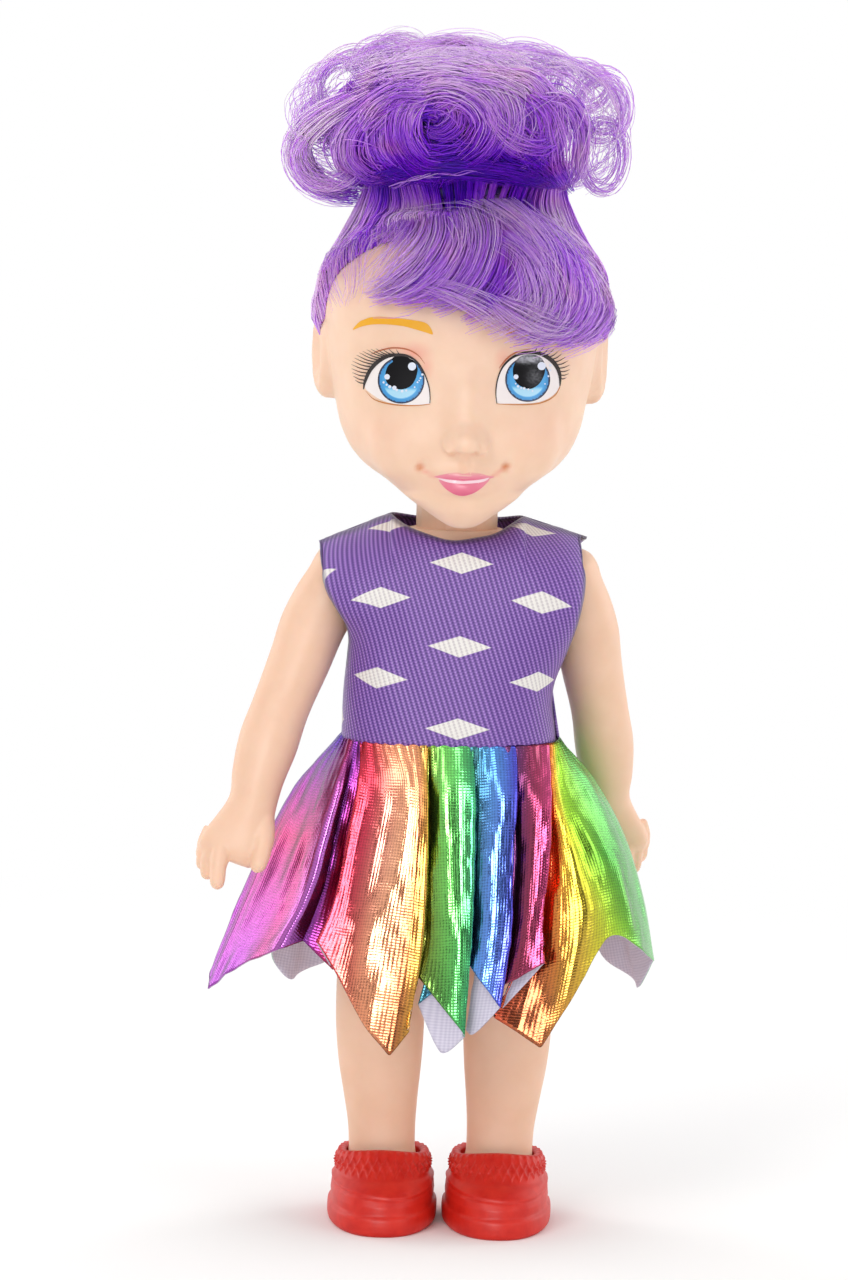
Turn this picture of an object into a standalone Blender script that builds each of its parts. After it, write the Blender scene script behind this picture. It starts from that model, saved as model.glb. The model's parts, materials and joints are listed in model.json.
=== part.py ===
# A small vinyl doll in a knit bodice and a pleated foil skirt.
# Metres, +Z up. The doll stands on z = 0 and faces -Y, so its own left is +X.
# Pieces are drawn about the doll's mid plane, x = 0, and hang from one root empty,
# which is moved at the end so that the whole doll is centred over the origin.

import math

import bmesh
import bpy
import numpy as np
from mathutils import Vector

OBJECT_NAME = "vinyl_doll"

# Fits and cuts that all pieces share
GAP = 0.0003
OVERRUN = 0.0010
MERGE = 0.00001
SHARP_ANGLE = math.radians(42)
QUARTER_TURN = math.pi / 2

# Heights that the other pieces take theirs from
TORSO_FOOT_Z = 0.0585
TORSO_HEIGHT = 0.0480
TORSO_TOP_Z = TORSO_FOOT_Z + TORSO_HEIGHT
CHIN_RISE = 0.0010
CHIN_Z = TORSO_TOP_Z + CHIN_RISE
HEAD_HEIGHT = 0.0473
CROWN_Z = CHIN_Z + HEAD_HEIGHT

# Head: overall box of the bald head, and the shell
HEAD_HALF_WIDTH = 0.0210
HEAD_HALF_DEPTH = 0.0210
HEAD_WALL = 0.0016
HEAD_TURN = math.radians(3.0)
HEAD_SEGMENTS = 28
HEAD_RINGS = 22
FRONT_CROWDING = 0.45

# Level sections of the skull: height above the chin as a share of the head's height, then
# half width, reach to the front and to the back, and the centre's depth. The sections
# swell and shrink over the height like an ellipsoid's, and the three reaches are shares of that.
HEAD_SQUARENESS = 2.2
HEAD_SECTION_SHARES = (
    (0.017, 0.517, 0.406, 0.480, -0.629), (0.042, 0.556, 0.521, 0.426, -0.581),
    (0.074, 0.628, 0.555, 0.364, -0.543), (0.099, 0.684, 0.677, 0.271, -0.448),
    (0.116, 0.720, 0.943, 0.914, -0.262), (0.144, 0.774, 0.964, 0.964, -0.200),
    (0.180, 0.868, 0.998, 0.955, -0.124), (0.222, 0.917, 0.991, 0.963, -0.076),
    (0.285, 0.933, 0.960, 0.970, -0.038), (0.391, 0.927, 0.917, 0.966, 0.000),
    (0.476, 0.944, 0.911, 0.968, 0.029), (0.581, 0.989, 0.960, 0.999, 0.048),
    (0.687, 1.068, 1.048, 1.058, 0.057), (0.772, 1.123, 1.089, 1.100, 0.057),
    (0.856, 1.167, 1.099, 1.133, 0.062), (0.920, 1.226, 1.130, 1.147, 0.071),
    (0.962, 1.294, 1.145, 1.182, 0.071), (0.989, 1.304, 1.071, 1.117, 0.071),
)
SECTION_COUNT = 201
PROBE = 0.00001
SLOPE_FLOOR = 1.0

# Rounded masses that blend into the skull: centre, radii and blend. Centres and radii
# are shares of the half width, half depth and height above, blends shares of the half width.
HEAD_MASS_SHARES = (
    ((-0.360, -0.600, 0.275), (0.300, 0.240, 0.130), 0.10),   # cheek
    ((0.360, -0.600, 0.275), (0.300, 0.240, 0.130), 0.10),    # cheek
    ((0.000, -0.840, 0.370), (0.085, 0.085, 0.100), 0.14),    # bridge of the nose
    ((0.000, -0.915, 0.290), (0.100, 0.115, 0.034), 0.09),    # tip of the nose
    ((-0.100, -0.895, 0.280), (0.052, 0.062, 0.023), 0.05),   # nostril's wing
    ((0.100, -0.895, 0.280), (0.052, 0.062, 0.023), 0.05),    # nostril's wing
    ((0.000, -0.850, 0.176), (0.190, 0.085, 0.020), 0.06),    # upper lip
    ((0.000, -0.840, 0.135), (0.150, 0.085, 0.023), 0.06),    # lower lip
    ((-0.965, 0.140, 0.535), (0.125, 0.200, 0.150), 0.06),    # ear
    ((0.965, 0.140, 0.535), (0.125, 0.200, 0.150), 0.06),     # ear
)
# Eye hollows: centre and radii, and blend
EYE_HOLLOW_SHARES = ((0.445, -1.130, 0.485), (0.300, 0.270, 0.110), 0.14)

# Neck: the torso's column, groove and knob, which the head's neck hole snaps over
NECK_Y = 0.0015
NECK_R = 0.0062
NECK_FOOT_DEPTH = 0.0020
NECK_FOOT_Z = TORSO_TOP_Z - NECK_FOOT_DEPTH
NECK_RISE = 0.0055
NECK_TOP_Z = TORSO_TOP_Z + NECK_RISE
NECK_GROOVE_R = 0.0042
HEAD_LIP_RISE = 0.0007
HEAD_LIP_Z = NECK_TOP_Z + HEAD_LIP_RISE
NECK_KNOB_R = 0.0057
NECK_KNOB_HEIGHT = 0.0041
NECK_KNOB_PLAY = 0.0013
NECK_LIP_PLAY = 0.0011

# Hair: a combed-up shell, a fringe, the gathered stalk with its tie, and the topknot
CAP_STAND_OFF = 0.0007
CAP_SEGMENTS = 36
CAP_THICKNESS = 0.0018
FRINGE_EDGE = 0.0006
FRINGE_BULGE = 0.0030
PART_GAP_ANGLE = math.radians(1.6)
STALK_R = 0.0090
TIE_WIRE_R = 0.0014
TIE_RISE = 0.0025
TIE_Z = CROWN_Z + TIE_RISE
TIE_POINTS = 6
BUN_HALF_WIDTH = 0.0252
BUN_HALF_DEPTH = 0.0228
BUN_HALF_HEIGHT = 0.0108
BUN_X = -0.0010
BUN_OVERHANG = 0.0042
BUN_FOOT_R = 0.0125
BUN_FOOT_RUN = 0.0040
BUN_CURL = 0.0010
BUN_SEGMENTS = 30
BUN_RINGS = 16
BUN_SQUARENESS = 2.5

# Lower edge of the combed-up hair: degrees round from the front, degrees down from
# the crown, the same on both sides
HAIRLINE_DEGREES = (
    (0, 29), (25, 32), (45, 45), (62, 64), (78, 72), (95, 68), (115, 86), (140, 118), (180, 128),
)
# Lower edge of the fringe, from the doll's right temple round the front to its left
FRINGE_DEGREES = (
    (-52, 58), (-40, 62), (-15, 63), (0, 66), (10, 71), (20, 75), (35, 79), (50, 79), (60, 77),
)
FRINGE_COLUMNS = 18
FRINGE_ROWS = 5

# Torso: two half shells that meet at y = 0
TORSO_HALF_WIDTH = 0.0150
TORSO_HALF_DEPTH = 0.0106
TORSO_WALL = 0.0015
TORSO_POINTS = 24
TORSO_SQUARENESS = 2.4
TORSO_SHARES = (   # height, half width, half depth
    (0.000, 0.40, 0.52), (0.052, 0.78, 0.77), (0.135, 0.97, 0.93), (0.240, 1.00, 1.00),
    (0.345, 0.95, 0.93), (0.450, 0.90, 0.88), (0.575, 0.90, 0.90), (0.700, 0.91, 0.93),
    (0.800, 0.91, 0.90), (0.865, 0.90, 0.84), (0.915, 0.84, 0.76), (0.960, 0.65, 0.67),
    (1.000, 0.47, 0.60),
)
BOSS_R = 0.0022
PIN_R = 0.0010
PIN_LENGTH = 0.0026
BOSS_HEIGHT_SHARES = (0.45, 0.72)
BOSS_REACH_SHARE = 0.80

# Shoulders: the arm's flanged plug turns in a hole through the torso's side
SHOULDER_HEIGHT_SHARE = 0.8396
SHOULDER_Z = TORSO_FOOT_Z + SHOULDER_HEIGHT_SHARE * TORSO_HEIGHT
SHOULDER_PLANE_X = 0.0137
SHOULDER_X = 0.0174
SHOULDER_RECESS_R = 0.0058
SHOULDER_BOSS_DEPTH = 0.0021
ARM_PLUG_R = 0.0026
ARM_FLANGE_R = 0.0039
ARM_FLANGE_THICKNESS = 0.0012

# Arms
ARM_LENGTH = 0.0525
ARM_HALF_WIDTH = 0.0049
ARM_HALF_DEPTH = 0.0053
ARM_BOW = 0.0014
ARM_POINTS = 12
ARM_PLUG_SEGMENTS = 12
RIGHT_ARM_SPREAD = math.radians(19.0)
LEFT_ARM_SPREAD = math.radians(10.5)
RIGHT_ARM_SWING = math.radians(-15.0)
LEFT_ARM_SWING = math.radians(18.0)
ARM_SHARES = (   # along the arm, bow, half width, half depth
    (-0.092, 0.0, 0.35, 0.40), (-0.076, 0.0, 0.70, 0.74), (-0.040, 0.0, 0.94, 0.94),
    (0.000, 0.0, 1.00, 1.00), (0.080, 0.5, 1.04, 1.02), (0.160, 0.9, 1.02, 0.98),
    (0.275, 0.9, 0.96, 0.91), (0.430, 1.0, 0.90, 0.84), (0.530, 0.9, 0.93, 0.84),
    (0.640, 0.6, 0.82, 0.72), (0.720, 0.1, 0.76, 0.60), (0.775, 0.1, 0.92, 0.56),
    (0.825, 0.2, 1.08, 0.54), (0.865, 0.5, 1.05, 0.50), (0.885, 0.8, 0.86, 0.36),
)
# Digits: root and tip beside the arm's line (outwards), root and tip in depth, root
# and tip along the arm, and thickness, the first four in palm half widths
PALM_HALF_WIDTH = 0.0052
FINGER_R = 0.00140
DIGIT_SHARES = (
    (0.06, 0.14, -0.24, -0.34, 0.835, 1.000, 1.00),    # index finger
    (0.36, 0.44, -0.04, -0.08, 0.835, 0.975, 1.00),    # middle finger
    (0.62, 0.72, 0.14, 0.16, 0.830, 0.940, 0.95),      # ring finger
    (0.82, 0.92, 0.30, 0.36, 0.820, 0.890, 0.85),      # little finger
    (-0.66, -0.74, -0.16, -0.44, 0.780, 0.935, 1.12),  # thumb
)
DIGIT_SWELL_SHARES = ((0.0, 0.75), (0.08, 1.0), (0.45, 1.0), (0.80, 0.92), (0.95, 0.62), (1.0, 0.30))
DIGIT_POINTS = 8

# Hips: the leg's round head turns beside a tongue at the bottom of the torso
HIP_Z = 0.0640
HIP_PLANE_X = 0.0043
HIP_HEAD_R = 0.0090
HIP_OUTER_X = 0.0158
HIP_SEGMENTS = 22
THIGH_CLEAR_HEIGHT = 0.0080
LEG_PLUG_R = 0.0025
LEG_FLANGE_R = 0.0036
LEG_FLANGE_THICKNESS = 0.0013

# Legs
LEG_X = 0.0098
LEG_HALF_WIDTH = 0.0068
LEG_HALF_DEPTH = 0.0070
LEG_POINTS = 20
LEG_SHARES = (   # height, centre, half width, reach to the front, reach to the back
    (0.165, 0.924, 0.750, 0.60, 0.77), (0.220, 0.935, 0.765, 0.59, 0.80),
    (0.285, 0.958, 0.830, 0.66, 0.93), (0.375, 0.985, 0.940, 0.77, 1.10),
    (0.470, 1.000, 1.000, 0.84, 1.14), (0.565, 1.010, 0.990, 0.89, 1.02),
    (0.660, 1.020, 0.955, 0.94, 0.92), (0.780, 1.050, 0.890, 1.00, 1.00),
    (0.860, 1.066, 0.850, 1.03, 1.08), (1.000, 1.066, 0.820, 1.00, 1.05),
)

# Shoes: a soft moulded slip-on with a welt, a ruffled collar and a small flower
SHOE_X = 0.0088
SHOE_HEIGHT = 0.0100
SHOE_HALF_WIDTH = 0.0084
SHOE_TOE = 0.0161
SHOE_HEEL = 0.0096
SHOE_WALL = 0.0012
SHOE_RUFFLE = 0.00035
SHOE_SQUARENESS = 2.25
FOOT_SOLE_INSET = 0.0006
SHOE_SHARES = (   # height, half width, toe, heel, ruffle
    (0.00, 0.940, 0.970, 0.940, 0), (0.07, 1.000, 1.000, 1.000, 0),
    (0.27, 1.000, 1.000, 1.000, 0), (0.32, 0.940, 0.962, 0.948, 0),
    (0.55, 0.940, 0.925, 0.945, 0), (0.73, 0.895, 0.770, 0.915, 0),
    (0.86, 0.845, 0.560, 0.870, 0), (0.93, 0.850, 0.480, 0.860, 1),
    (1.00, 0.820, 0.400, 0.830, 0),
)
FOOT_ROWS = (3, 4, 5, 6)
COLLAR_FRONT_RISE = 0.0010
FLOWER_R = 0.0013
FLOWER_THICKNESS = 0.0009
FLOWER_Z = 0.0088
FLOWER_Y = -0.0084
FLOWER_PETALS = 5
FLOWER_LOBE_SHARE = 0.22
FLOWER_TILT = math.radians(-58)
FLOWER_POINTS = 20

# Bodice: a front panel and two back panels that overlap at the closure
CLOTH = 0.0005
WAIST_HEIGHT_SHARE = 0.3333
WAIST_Z = TORSO_FOOT_Z + WAIST_HEIGHT_SHARE * TORSO_HEIGHT
NECK_POINT_X = 0.0100
NECK_POINT_RISE = 0.0017
NECK_FRONT_DROP = 0.0015
NECK_BACK_RISE = 0.0003
RIGHT_TIP_DROP = 0.0028
LEFT_TIP_DROP = 0.0015
NECK_POINT_Z = TORSO_TOP_Z + NECK_POINT_RISE
NECK_FRONT_Z = TORSO_TOP_Z - NECK_FRONT_DROP
NECK_FRONT_Y = 0.0084
NECK_BACK_Z = TORSO_TOP_Z + NECK_BACK_RISE
NECK_BACK_Y = 0.0084
RIGHT_TIP_Z = TORSO_TOP_Z - RIGHT_TIP_DROP
LEFT_TIP_Z = TORSO_TOP_Z - LEFT_TIP_DROP
BODICE_HALF_WIDTH = 0.0162
BODICE_DEPTH = 0.0120
ARMHOLE_DEPTH = 0.0071
BODICE_SQUARENESS = 2.6
SEAM_GAP = 0.0002
YOKE_SHARE = 0.62
BODICE_COLUMNS = 12
BODICE_ROWS = 10
ROW_CROWDING = 1.6
RIGHT_EDGE_SHARES = (
    (0.0, 1.01), (0.25, 1.00), (0.42, 0.975), (0.53, 0.965), (0.60, 0.99), (0.66, 1.05), (0.77, 1.17),
    (0.9, 1.25), (1.0, 1.28),
)
LEFT_EDGE_SHARES = ((0.0, 0.96), (0.27, 0.93), (0.42, 1.03), (0.62, 1.14), (0.8, 1.19), (0.92, 1.18), (1.0, 1.16))
BACK_EDGE_SHARES = ((0.0, 1.00), (0.18, 0.94), (0.32, 0.90), (0.72, 0.90), (0.86, 1.00), (1.0, 1.22))
RIGHT_ARMHOLE_SHARE = 0.41
LEFT_ARMHOLE_SHARE = 0.30
BACK_ARMHOLE_SHARE = 0.34
ARMHOLE_CREST_SHARE = 0.70
OVERLAP = 0.0040
OVERLAP_RAMP = 0.0040
TAPE_HALF_WIDTH = 0.0034
TAPE_THICKNESS = 0.0006
TAPE_SPAN_SHARES = (0.12, 0.86)
TAPE_ROWS = 8

# Skirt: one pleated cloth with a zigzag hem, open down the back
SKIRT_TOP_Z = WAIST_Z - GAP - CLOTH
SKIRT_WAIST_HALF_WIDTH = 0.0164
SKIRT_WAIST_DEPTH = 0.0124
SKIRT_LENGTH = 0.0400
SKIRT_FLARE = 0.65
SKIRT_SLIT = math.radians(3.0)
PLEAT_DEPTH = 0.0012
SKIRT_ROWS = 8
SKIRT_COLUMN_ANGLE = math.radians(7.5)
SKIRT_REACH = 0.0364
SKIRT_REACH_SHARES = (   # degrees round from the doll's left, reach of the hem
    (-180, 1.00), (-165, 0.91), (-150, 0.75), (-120, 0.60), (-90, 0.54), (-60, 0.57),
    (-30, 0.72), (-10, 0.85), (0, 0.865), (12, 0.80), (25, 0.69), (45, 0.55), (90, 0.44),
    (135, 0.55), (160, 0.80), (172, 0.96), (180, 1.00),
)
HEM_SHARES = (   # degrees, fall below the waist: tips and valleys in turn
    (93, 0.80), (106, 1.03), (130, 0.78), (154, 1.02), (167, 0.76), (181, 0.99),
    (213, 0.73), (247, 1.13), (258, 0.87), (270, 1.12), (286, 0.80), (312, 1.09),
    (330, 0.66), (352, 0.98), (380, 0.78), (410, 1.03), (430, 0.80), (447, 1.00),
)

COLOURS = {   # colour, roughness, metallic
    "skin": ((0.87, 0.60, 0.45), 0.45, 0.0),
    "hair": ((0.28, 0.13, 0.68), 0.40, 0.0),
    "tie": ((0.12, 0.04, 0.35), 0.70, 0.0),
    "knit": ((0.20, 0.11, 0.44), 0.55, 0.0),
    "tape": ((0.85, 0.85, 0.88), 0.85, 0.0),
    "foil": ((0.75, 0.25, 0.45), 0.25, 1.0),
    "shoe": ((0.69, 0.03, 0.02), 0.50, 0.0),
}


# Scene and object helpers

def clear_scene():
    for obj in list(bpy.data.objects):
        bpy.data.objects.remove(obj, do_unlink=True)


def new_collection(name):
    collection = bpy.data.collections.new(name)
    bpy.context.scene.collection.children.link(collection)
    return collection


def make_materials():
    made = {}
    for name, (colour, roughness, metallic) in COLOURS.items():
        material = bpy.data.materials.new(name)
        material.use_nodes = True
        shader = material.node_tree.nodes["Principled BSDF"]
        shader.inputs["Base Color"].default_value = (*colour, 1.0)
        shader.inputs["Roughness"].default_value = roughness
        shader.inputs["Metallic"].default_value = metallic
        made[name] = material
    return made


def new_empty(name, location, parent=None):
    empty = bpy.data.objects.new(name, None)
    empty.empty_display_size = GAP
    PARTS.objects.link(empty)
    empty.parent = parent
    empty.location = location
    return empty


def new_object(name, mesh, pivot, finish=None):
    """An object drawn in the doll's frame and carried by a pivot; without a finish it is a tool."""
    obj = bpy.data.objects.new(name, mesh)
    obj.parent = pivot
    obj.location = -pivot.location if pivot is not ROOT else Vector((0, 0, 0))
    if finish:
        PARTS.objects.link(obj)
        mesh.materials.append(MATERIALS[finish])
    else:
        TOOLS.objects.link(obj)
        obj.hide_render = True
        obj.display_type = "WIRE"
    return obj


def smooth(obj):
    obj.data.shade_smooth()
    obj.data.set_sharp_from_angle(angle=SHARP_ANGLE)


def combine(target, tool, operation):
    step = target.modifiers.new(f"{operation.lower()} {tool.name}", "BOOLEAN")
    step.operation = operation
    step.solver = "EXACT"
    step.object = tool


def weld(obj):
    step = obj.modifiers.new("weld", "WELD")
    step.merge_threshold = MERGE


def thicken(obj, thickness, offset):
    wall = obj.modifiers.new("wall", "SOLIDIFY")
    wall.thickness = thickness
    wall.offset = offset


# Shape helpers

def table(x, rows):
    """Smooth reading of a table whose rows are (x, value)."""
    xs = np.array([row[0] for row in rows], float)
    ys = np.array([row[1] for row in rows], float)
    slopes = np.gradient(ys, xs)
    i = int(np.clip(np.searchsorted(xs, x) - 1, 0, len(xs) - 2))
    span = xs[i + 1] - xs[i]
    t = float(np.clip((x - xs[i]) / span, 0, 1))
    low = 2 * t**3 - 3 * t**2 + 1
    rise = t**3 - 2 * t**2 + t
    fall = t**3 - t**2
    return low * ys[i] + (1 - low) * ys[i + 1] + span * (rise * slopes[i] + fall * slopes[i + 1])


def ease(x):
    x = min(max(x, 0.0), 1.0)
    return x * x * (3 - 2 * x)


def oval(centre, half_width, front, back, squareness, count):
    """A level ring, rounder or squarer, with its own reach to the front and to the back."""
    ring = []
    for k in range(count):
        angle = 2 * math.pi * k / count
        c, s = math.cos(angle), math.sin(angle)
        reach = (abs(c) ** squareness + abs(s) ** squareness) ** (-1 / squareness)
        depth = front if s < 0 else back
        ring.append((centre[0] + half_width * reach * c, centre[1] + depth * reach * s, centre[2]))
    return ring


def strip_faces(rows, columns, closed):
    faces = []
    for i in range(rows - 1):
        for k in range(columns if closed else columns - 1):
            j = (k + 1) % columns
            faces.append((i * columns + k, i * columns + j, (i + 1) * columns + j, (i + 1) * columns + k))
    return faces


def mesh_of(name, points, faces):
    mesh = bpy.data.meshes.new(name)
    mesh.from_pydata([tuple(p) for p in points], [], faces)
    bm = bmesh.new()
    bm.from_mesh(mesh)
    bmesh.ops.recalc_face_normals(bm, faces=bm.faces)
    bm.to_mesh(mesh)
    bm.free()
    return mesh


def loft(name, rings, bottom=True, top=True):
    """Rings of equal count, joined in turn, with end caps where they are asked for."""
    count = len(rings[0])
    faces = strip_faces(len(rings), count, True)
    if bottom:
        faces.append(tuple(reversed(range(count))))
    if top:
        last = (len(rings) - 1) * count
        faces.append(tuple(range(last, last + count)))
    return mesh_of(name, [p for ring in rings for p in ring], faces)


def sheet(name, grid):
    """An open surface from rows of points. It faces the side from which rows run up and points run right."""
    points = [p for row in grid for p in row]
    mesh = bpy.data.meshes.new(name)
    mesh.from_pydata([tuple(p) for p in points], [], strip_faces(len(grid), len(grid[0]), False))
    return mesh


def slab(name, inner, outer):
    """A closed solid between two grids of the same size."""
    rows, columns = len(inner), len(inner[0])
    points = [p for row in inner for p in row] + [p for row in outer for p in row]
    skin = strip_faces(rows, columns, False)
    shift = rows * columns
    faces = [tuple(reversed(face)) for face in skin] + [tuple(k + shift for k in face) for face in skin]
    edge = [k for k in range(columns)]
    edge += [i * columns + columns - 1 for i in range(1, rows)]
    edge += [(rows - 1) * columns + k for k in range(columns - 2, -1, -1)]
    edge += [i * columns for i in range(rows - 2, 0, -1)]
    for a, b in zip(edge, edge[1:] + edge[:1]):
        faces.append((a, b, b + shift, a + shift))
    return mesh_of(name, points, faces)


def turned(name, profile, segments, pivot, location, side=0, finish=None):
    """A profile of (radius, height), listed downwards, turned about +Z, or about X to one side."""
    mesh = bpy.data.meshes.new(name)
    mesh.from_pydata([(r, 0, h) for r, h in profile], [(k, k + 1) for k in range(len(profile) - 1)], [])
    obj = new_object(name, mesh, pivot, finish)
    obj.location = obj.location + Vector(location)
    obj.rotation_euler = (0, side * QUARTER_TURN, 0)
    screw = obj.modifiers.new("turn", "SCREW")
    screw.axis = "Z"
    screw.steps = segments
    screw.render_steps = segments
    screw.use_merge_vertices = True
    screw.merge_threshold = MERGE
    return obj


def block(name, low, high, pivot, finish=None):
    bm = bmesh.new()
    bmesh.ops.create_cube(bm, size=1)
    for vert in bm.verts:
        for k in range(3):
            vert.co[k] = low[k] if vert.co[k] < 0 else high[k]
    mesh = bpy.data.meshes.new(name)
    bm.to_mesh(mesh)
    bm.free()
    return new_object(name, mesh, pivot, finish)


def rod(name, radius, start, end, pivot, segments=12, finish=None):
    """A cylinder along X, Y or Z between two points."""
    bm = bmesh.new()
    a, b = Vector(start), Vector(end)
    bmesh.ops.create_cone(bm, cap_ends=True, segments=segments, radius1=radius, radius2=radius, depth=(b - a).length)
    turn = Vector((0, 0, 1)).rotation_difference(b - a).to_matrix()
    bmesh.ops.rotate(bm, verts=bm.verts, matrix=turn)
    bmesh.ops.translate(bm, verts=bm.verts, vec=(a + b) / 2)
    mesh = bpy.data.meshes.new(name)
    bm.to_mesh(mesh)
    bm.free()
    return new_object(name, mesh, pivot, finish)


# Head and hair surface

HEAD_SIZE = np.array((HEAD_HALF_WIDTH, HEAD_HALF_DEPTH, HEAD_HEIGHT))
HEAD_BASE = np.array((0, 0, CHIN_Z))
HEAD_CORE_SHARE = 0.475
HEAD_CORE = np.array((0, NECK_Y, CHIN_Z + HEAD_CORE_SHARE * HEAD_HEIGHT))
SECTION_HEIGHTS = np.linspace(0, 1, SECTION_COUNT)
SECTION_CURVES = [
    np.array([table(height, [(row[0], row[k]) for row in HEAD_SECTION_SHARES]) for height in SECTION_HEIGHTS])
    for k in range(1, len(HEAD_SECTION_SHARES[0]))
]


def ellipsoid(points, centre, radii):
    q = (points - centre) / radii
    near = np.linalg.norm(q, axis=1)
    slope = np.linalg.norm(q / radii, axis=1)
    return near * (near - 1) / np.maximum(slope, 1e-9)


def skull(points):
    """Zero on the skull of stacked sections, negative inside."""
    height = (points[:, 2] - CHIN_Z) / HEAD_HEIGHT
    half, front, back, middle = (np.interp(height, SECTION_HEIGHTS, curve) for curve in SECTION_CURVES)
    x = np.abs(points[:, 0]) / (half * HEAD_HALF_WIDTH)
    y = points[:, 1] - middle * HEAD_HALF_DEPTH
    y = np.abs(y) / (np.where(y < 0, front, back) * HEAD_HALF_DEPTH)
    level = (x**HEAD_SQUARENESS + y**HEAD_SQUARENESS) ** (2 / HEAD_SQUARENESS)
    return np.sqrt(level + (2 * height - 1) ** 2) - 1


def skull_distance(points):
    slope = [(skull(points + step) - skull(points - step)) / (2 * PROBE) for step in PROBE * np.eye(3)]
    return skull(points) / np.maximum(np.linalg.norm(slope, axis=0), SLOPE_FLOOR)


def blended(first, second, blend):
    """The smooth union of two distances."""
    mix = np.clip(0.5 + 0.5 * (second - first) / blend, 0, 1)
    return second * (1 - mix) + first * mix - blend * mix * (1 - mix)


def head_distance(points):
    """Roughly the distance of points from the head's skin, negative inside."""
    total = skull_distance(points)
    for centre, radii, blend in HEAD_MASS_SHARES:
        mass = ellipsoid(points, HEAD_BASE + np.array(centre) * HEAD_SIZE, np.array(radii) * HEAD_SIZE)
        total = blended(total, mass, blend * HEAD_HALF_WIDTH)
    centre, radii, blend = EYE_HOLLOW_SHARES
    for side in (-1, 1):
        place = HEAD_BASE + np.array((side, 1, 1)) * np.array(centre) * HEAD_SIZE
        hollow = ellipsoid(points, place, np.array(radii) * HEAD_SIZE)
        total = -blended(-total, hollow, blend * HEAD_HALF_WIDTH)
    return total


def head_points(azimuths, polars, offsets):
    """Points on the skin, or offset from it, seen from the head's core.
    Azimuth runs from the face round to the doll's left, polar down from the crown."""
    a, p = np.asarray(azimuths, float), np.asarray(polars, float)
    rays = np.stack((np.sin(p) * np.sin(a), -np.sin(p) * np.cos(a), np.cos(p)), axis=1)
    low = np.zeros(len(rays))
    high = np.full(len(rays), 2 * HEAD_HEIGHT)
    for _ in range(40):
        middle = (low + high) / 2
        inside = head_distance(HEAD_CORE + rays * middle[:, None]) < offsets
        low = np.where(inside, middle, low)
        high = np.where(inside, high, middle)
    return HEAD_CORE + rays * low[:, None]


def crowded(azimuth):
    """More of the columns go to the face than to the back of the head."""
    return azimuth - FRONT_CROWDING * math.sin(azimuth)


def shaped_ball(name, segments, rings, keep, place):
    """A UV sphere whose points, where kept, are moved to new places by their angles."""
    bm = bmesh.new()
    bmesh.ops.create_uvsphere(bm, u_segments=segments, v_segments=rings, radius=1)
    angles = {}
    for vert in bm.verts:
        polar = math.acos(max(-1.0, min(1.0, vert.co.z)))
        angles[vert] = (math.atan2(vert.co.x, -vert.co.y), polar)
    spare = [vert for vert in bm.verts if not keep(angles[vert][1])]
    bmesh.ops.delete(bm, geom=spare, context="VERTS")
    verts = list(bm.verts)
    places = place([angles[vert][0] for vert in verts], [angles[vert][1] for vert in verts])
    for vert, point in zip(verts, places):
        vert.co = point
    bmesh.ops.recalc_face_normals(bm, faces=bm.faces)
    mesh = bpy.data.meshes.new(name)
    bm.to_mesh(mesh)
    bm.free()
    return mesh


def make_head(pivot):
    lip_ring = HEAD_RINGS - 2
    step = math.pi / HEAD_RINGS
    lip_r = NECK_GROOVE_R + NECK_LIP_PLAY

    def place(azimuths, polars):
        turned_azimuths = [crowded(a) for a in azimuths]
        points = head_points(turned_azimuths, polars, 0)
        for k, (a, p) in enumerate(zip(turned_azimuths, polars)):
            if p > (lip_ring - 0.5) * step:
                points[k] = (lip_r * math.sin(a), NECK_Y - lip_r * math.cos(a), HEAD_LIP_Z)
        return points

    mesh = shaped_ball("head", HEAD_SEGMENTS, HEAD_RINGS, lambda p: p < (lip_ring + 0.5) * step, place)
    head = new_object("head", mesh, pivot, "skin")
    thicken(head, HEAD_WALL, -1)
    smooth(head)


def hairline(azimuth):
    return math.radians(table(abs(math.degrees(azimuth)), HAIRLINE_DEGREES))


def make_hair_cap(pivot):
    def place(azimuths, polars):
        lowered = [p / QUARTER_TURN * hairline(a) for a, p in zip(azimuths, polars)]
        return head_points(azimuths, lowered, CAP_STAND_OFF)

    mesh = shaped_ball("hair_cap", CAP_SEGMENTS, HEAD_RINGS, lambda p: p < QUARTER_TURN + GAP, place)
    cap = new_object("hair_cap", mesh, pivot, "hair")
    thicken(cap, CAP_THICKNESS, 1)
    stalk_foot = CROWN_Z + CAP_THICKNESS / 2
    stalk = rod("stalk", STALK_R, (0, NECK_Y, stalk_foot), (0, NECK_Y, stalk_top()), pivot, HEAD_SEGMENTS)
    combine(cap, stalk, "UNION")
    smooth(cap)


def stalk_top():
    return TIE_Z + TIE_WIRE_R + GAP


def make_tie(pivot):
    ring_r = STALK_R + GAP + TIE_WIRE_R
    bm = bmesh.new()
    profile = [bm.verts.new((ring_r + TIE_WIRE_R * math.cos(a), 0, TIE_WIRE_R * math.sin(a)))
               for a in (2 * math.pi * k / TIE_POINTS for k in range(TIE_POINTS))]
    for a, b in zip(profile, profile[1:] + profile[:1]):
        bm.edges.new((b, a))
    mesh = bpy.data.meshes.new("hair_elastic")
    bm.to_mesh(mesh)
    bm.free()
    tie = new_object("hair_elastic", mesh, pivot, "tie")
    tie.location = tie.location + Vector((0, NECK_Y, TIE_Z))
    screw = tie.modifiers.new("turn", "SCREW")
    screw.steps = HEAD_SEGMENTS
    screw.render_steps = HEAD_SEGMENTS
    screw.use_merge_vertices = True
    screw.merge_threshold = MERGE
    smooth(tie)


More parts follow.
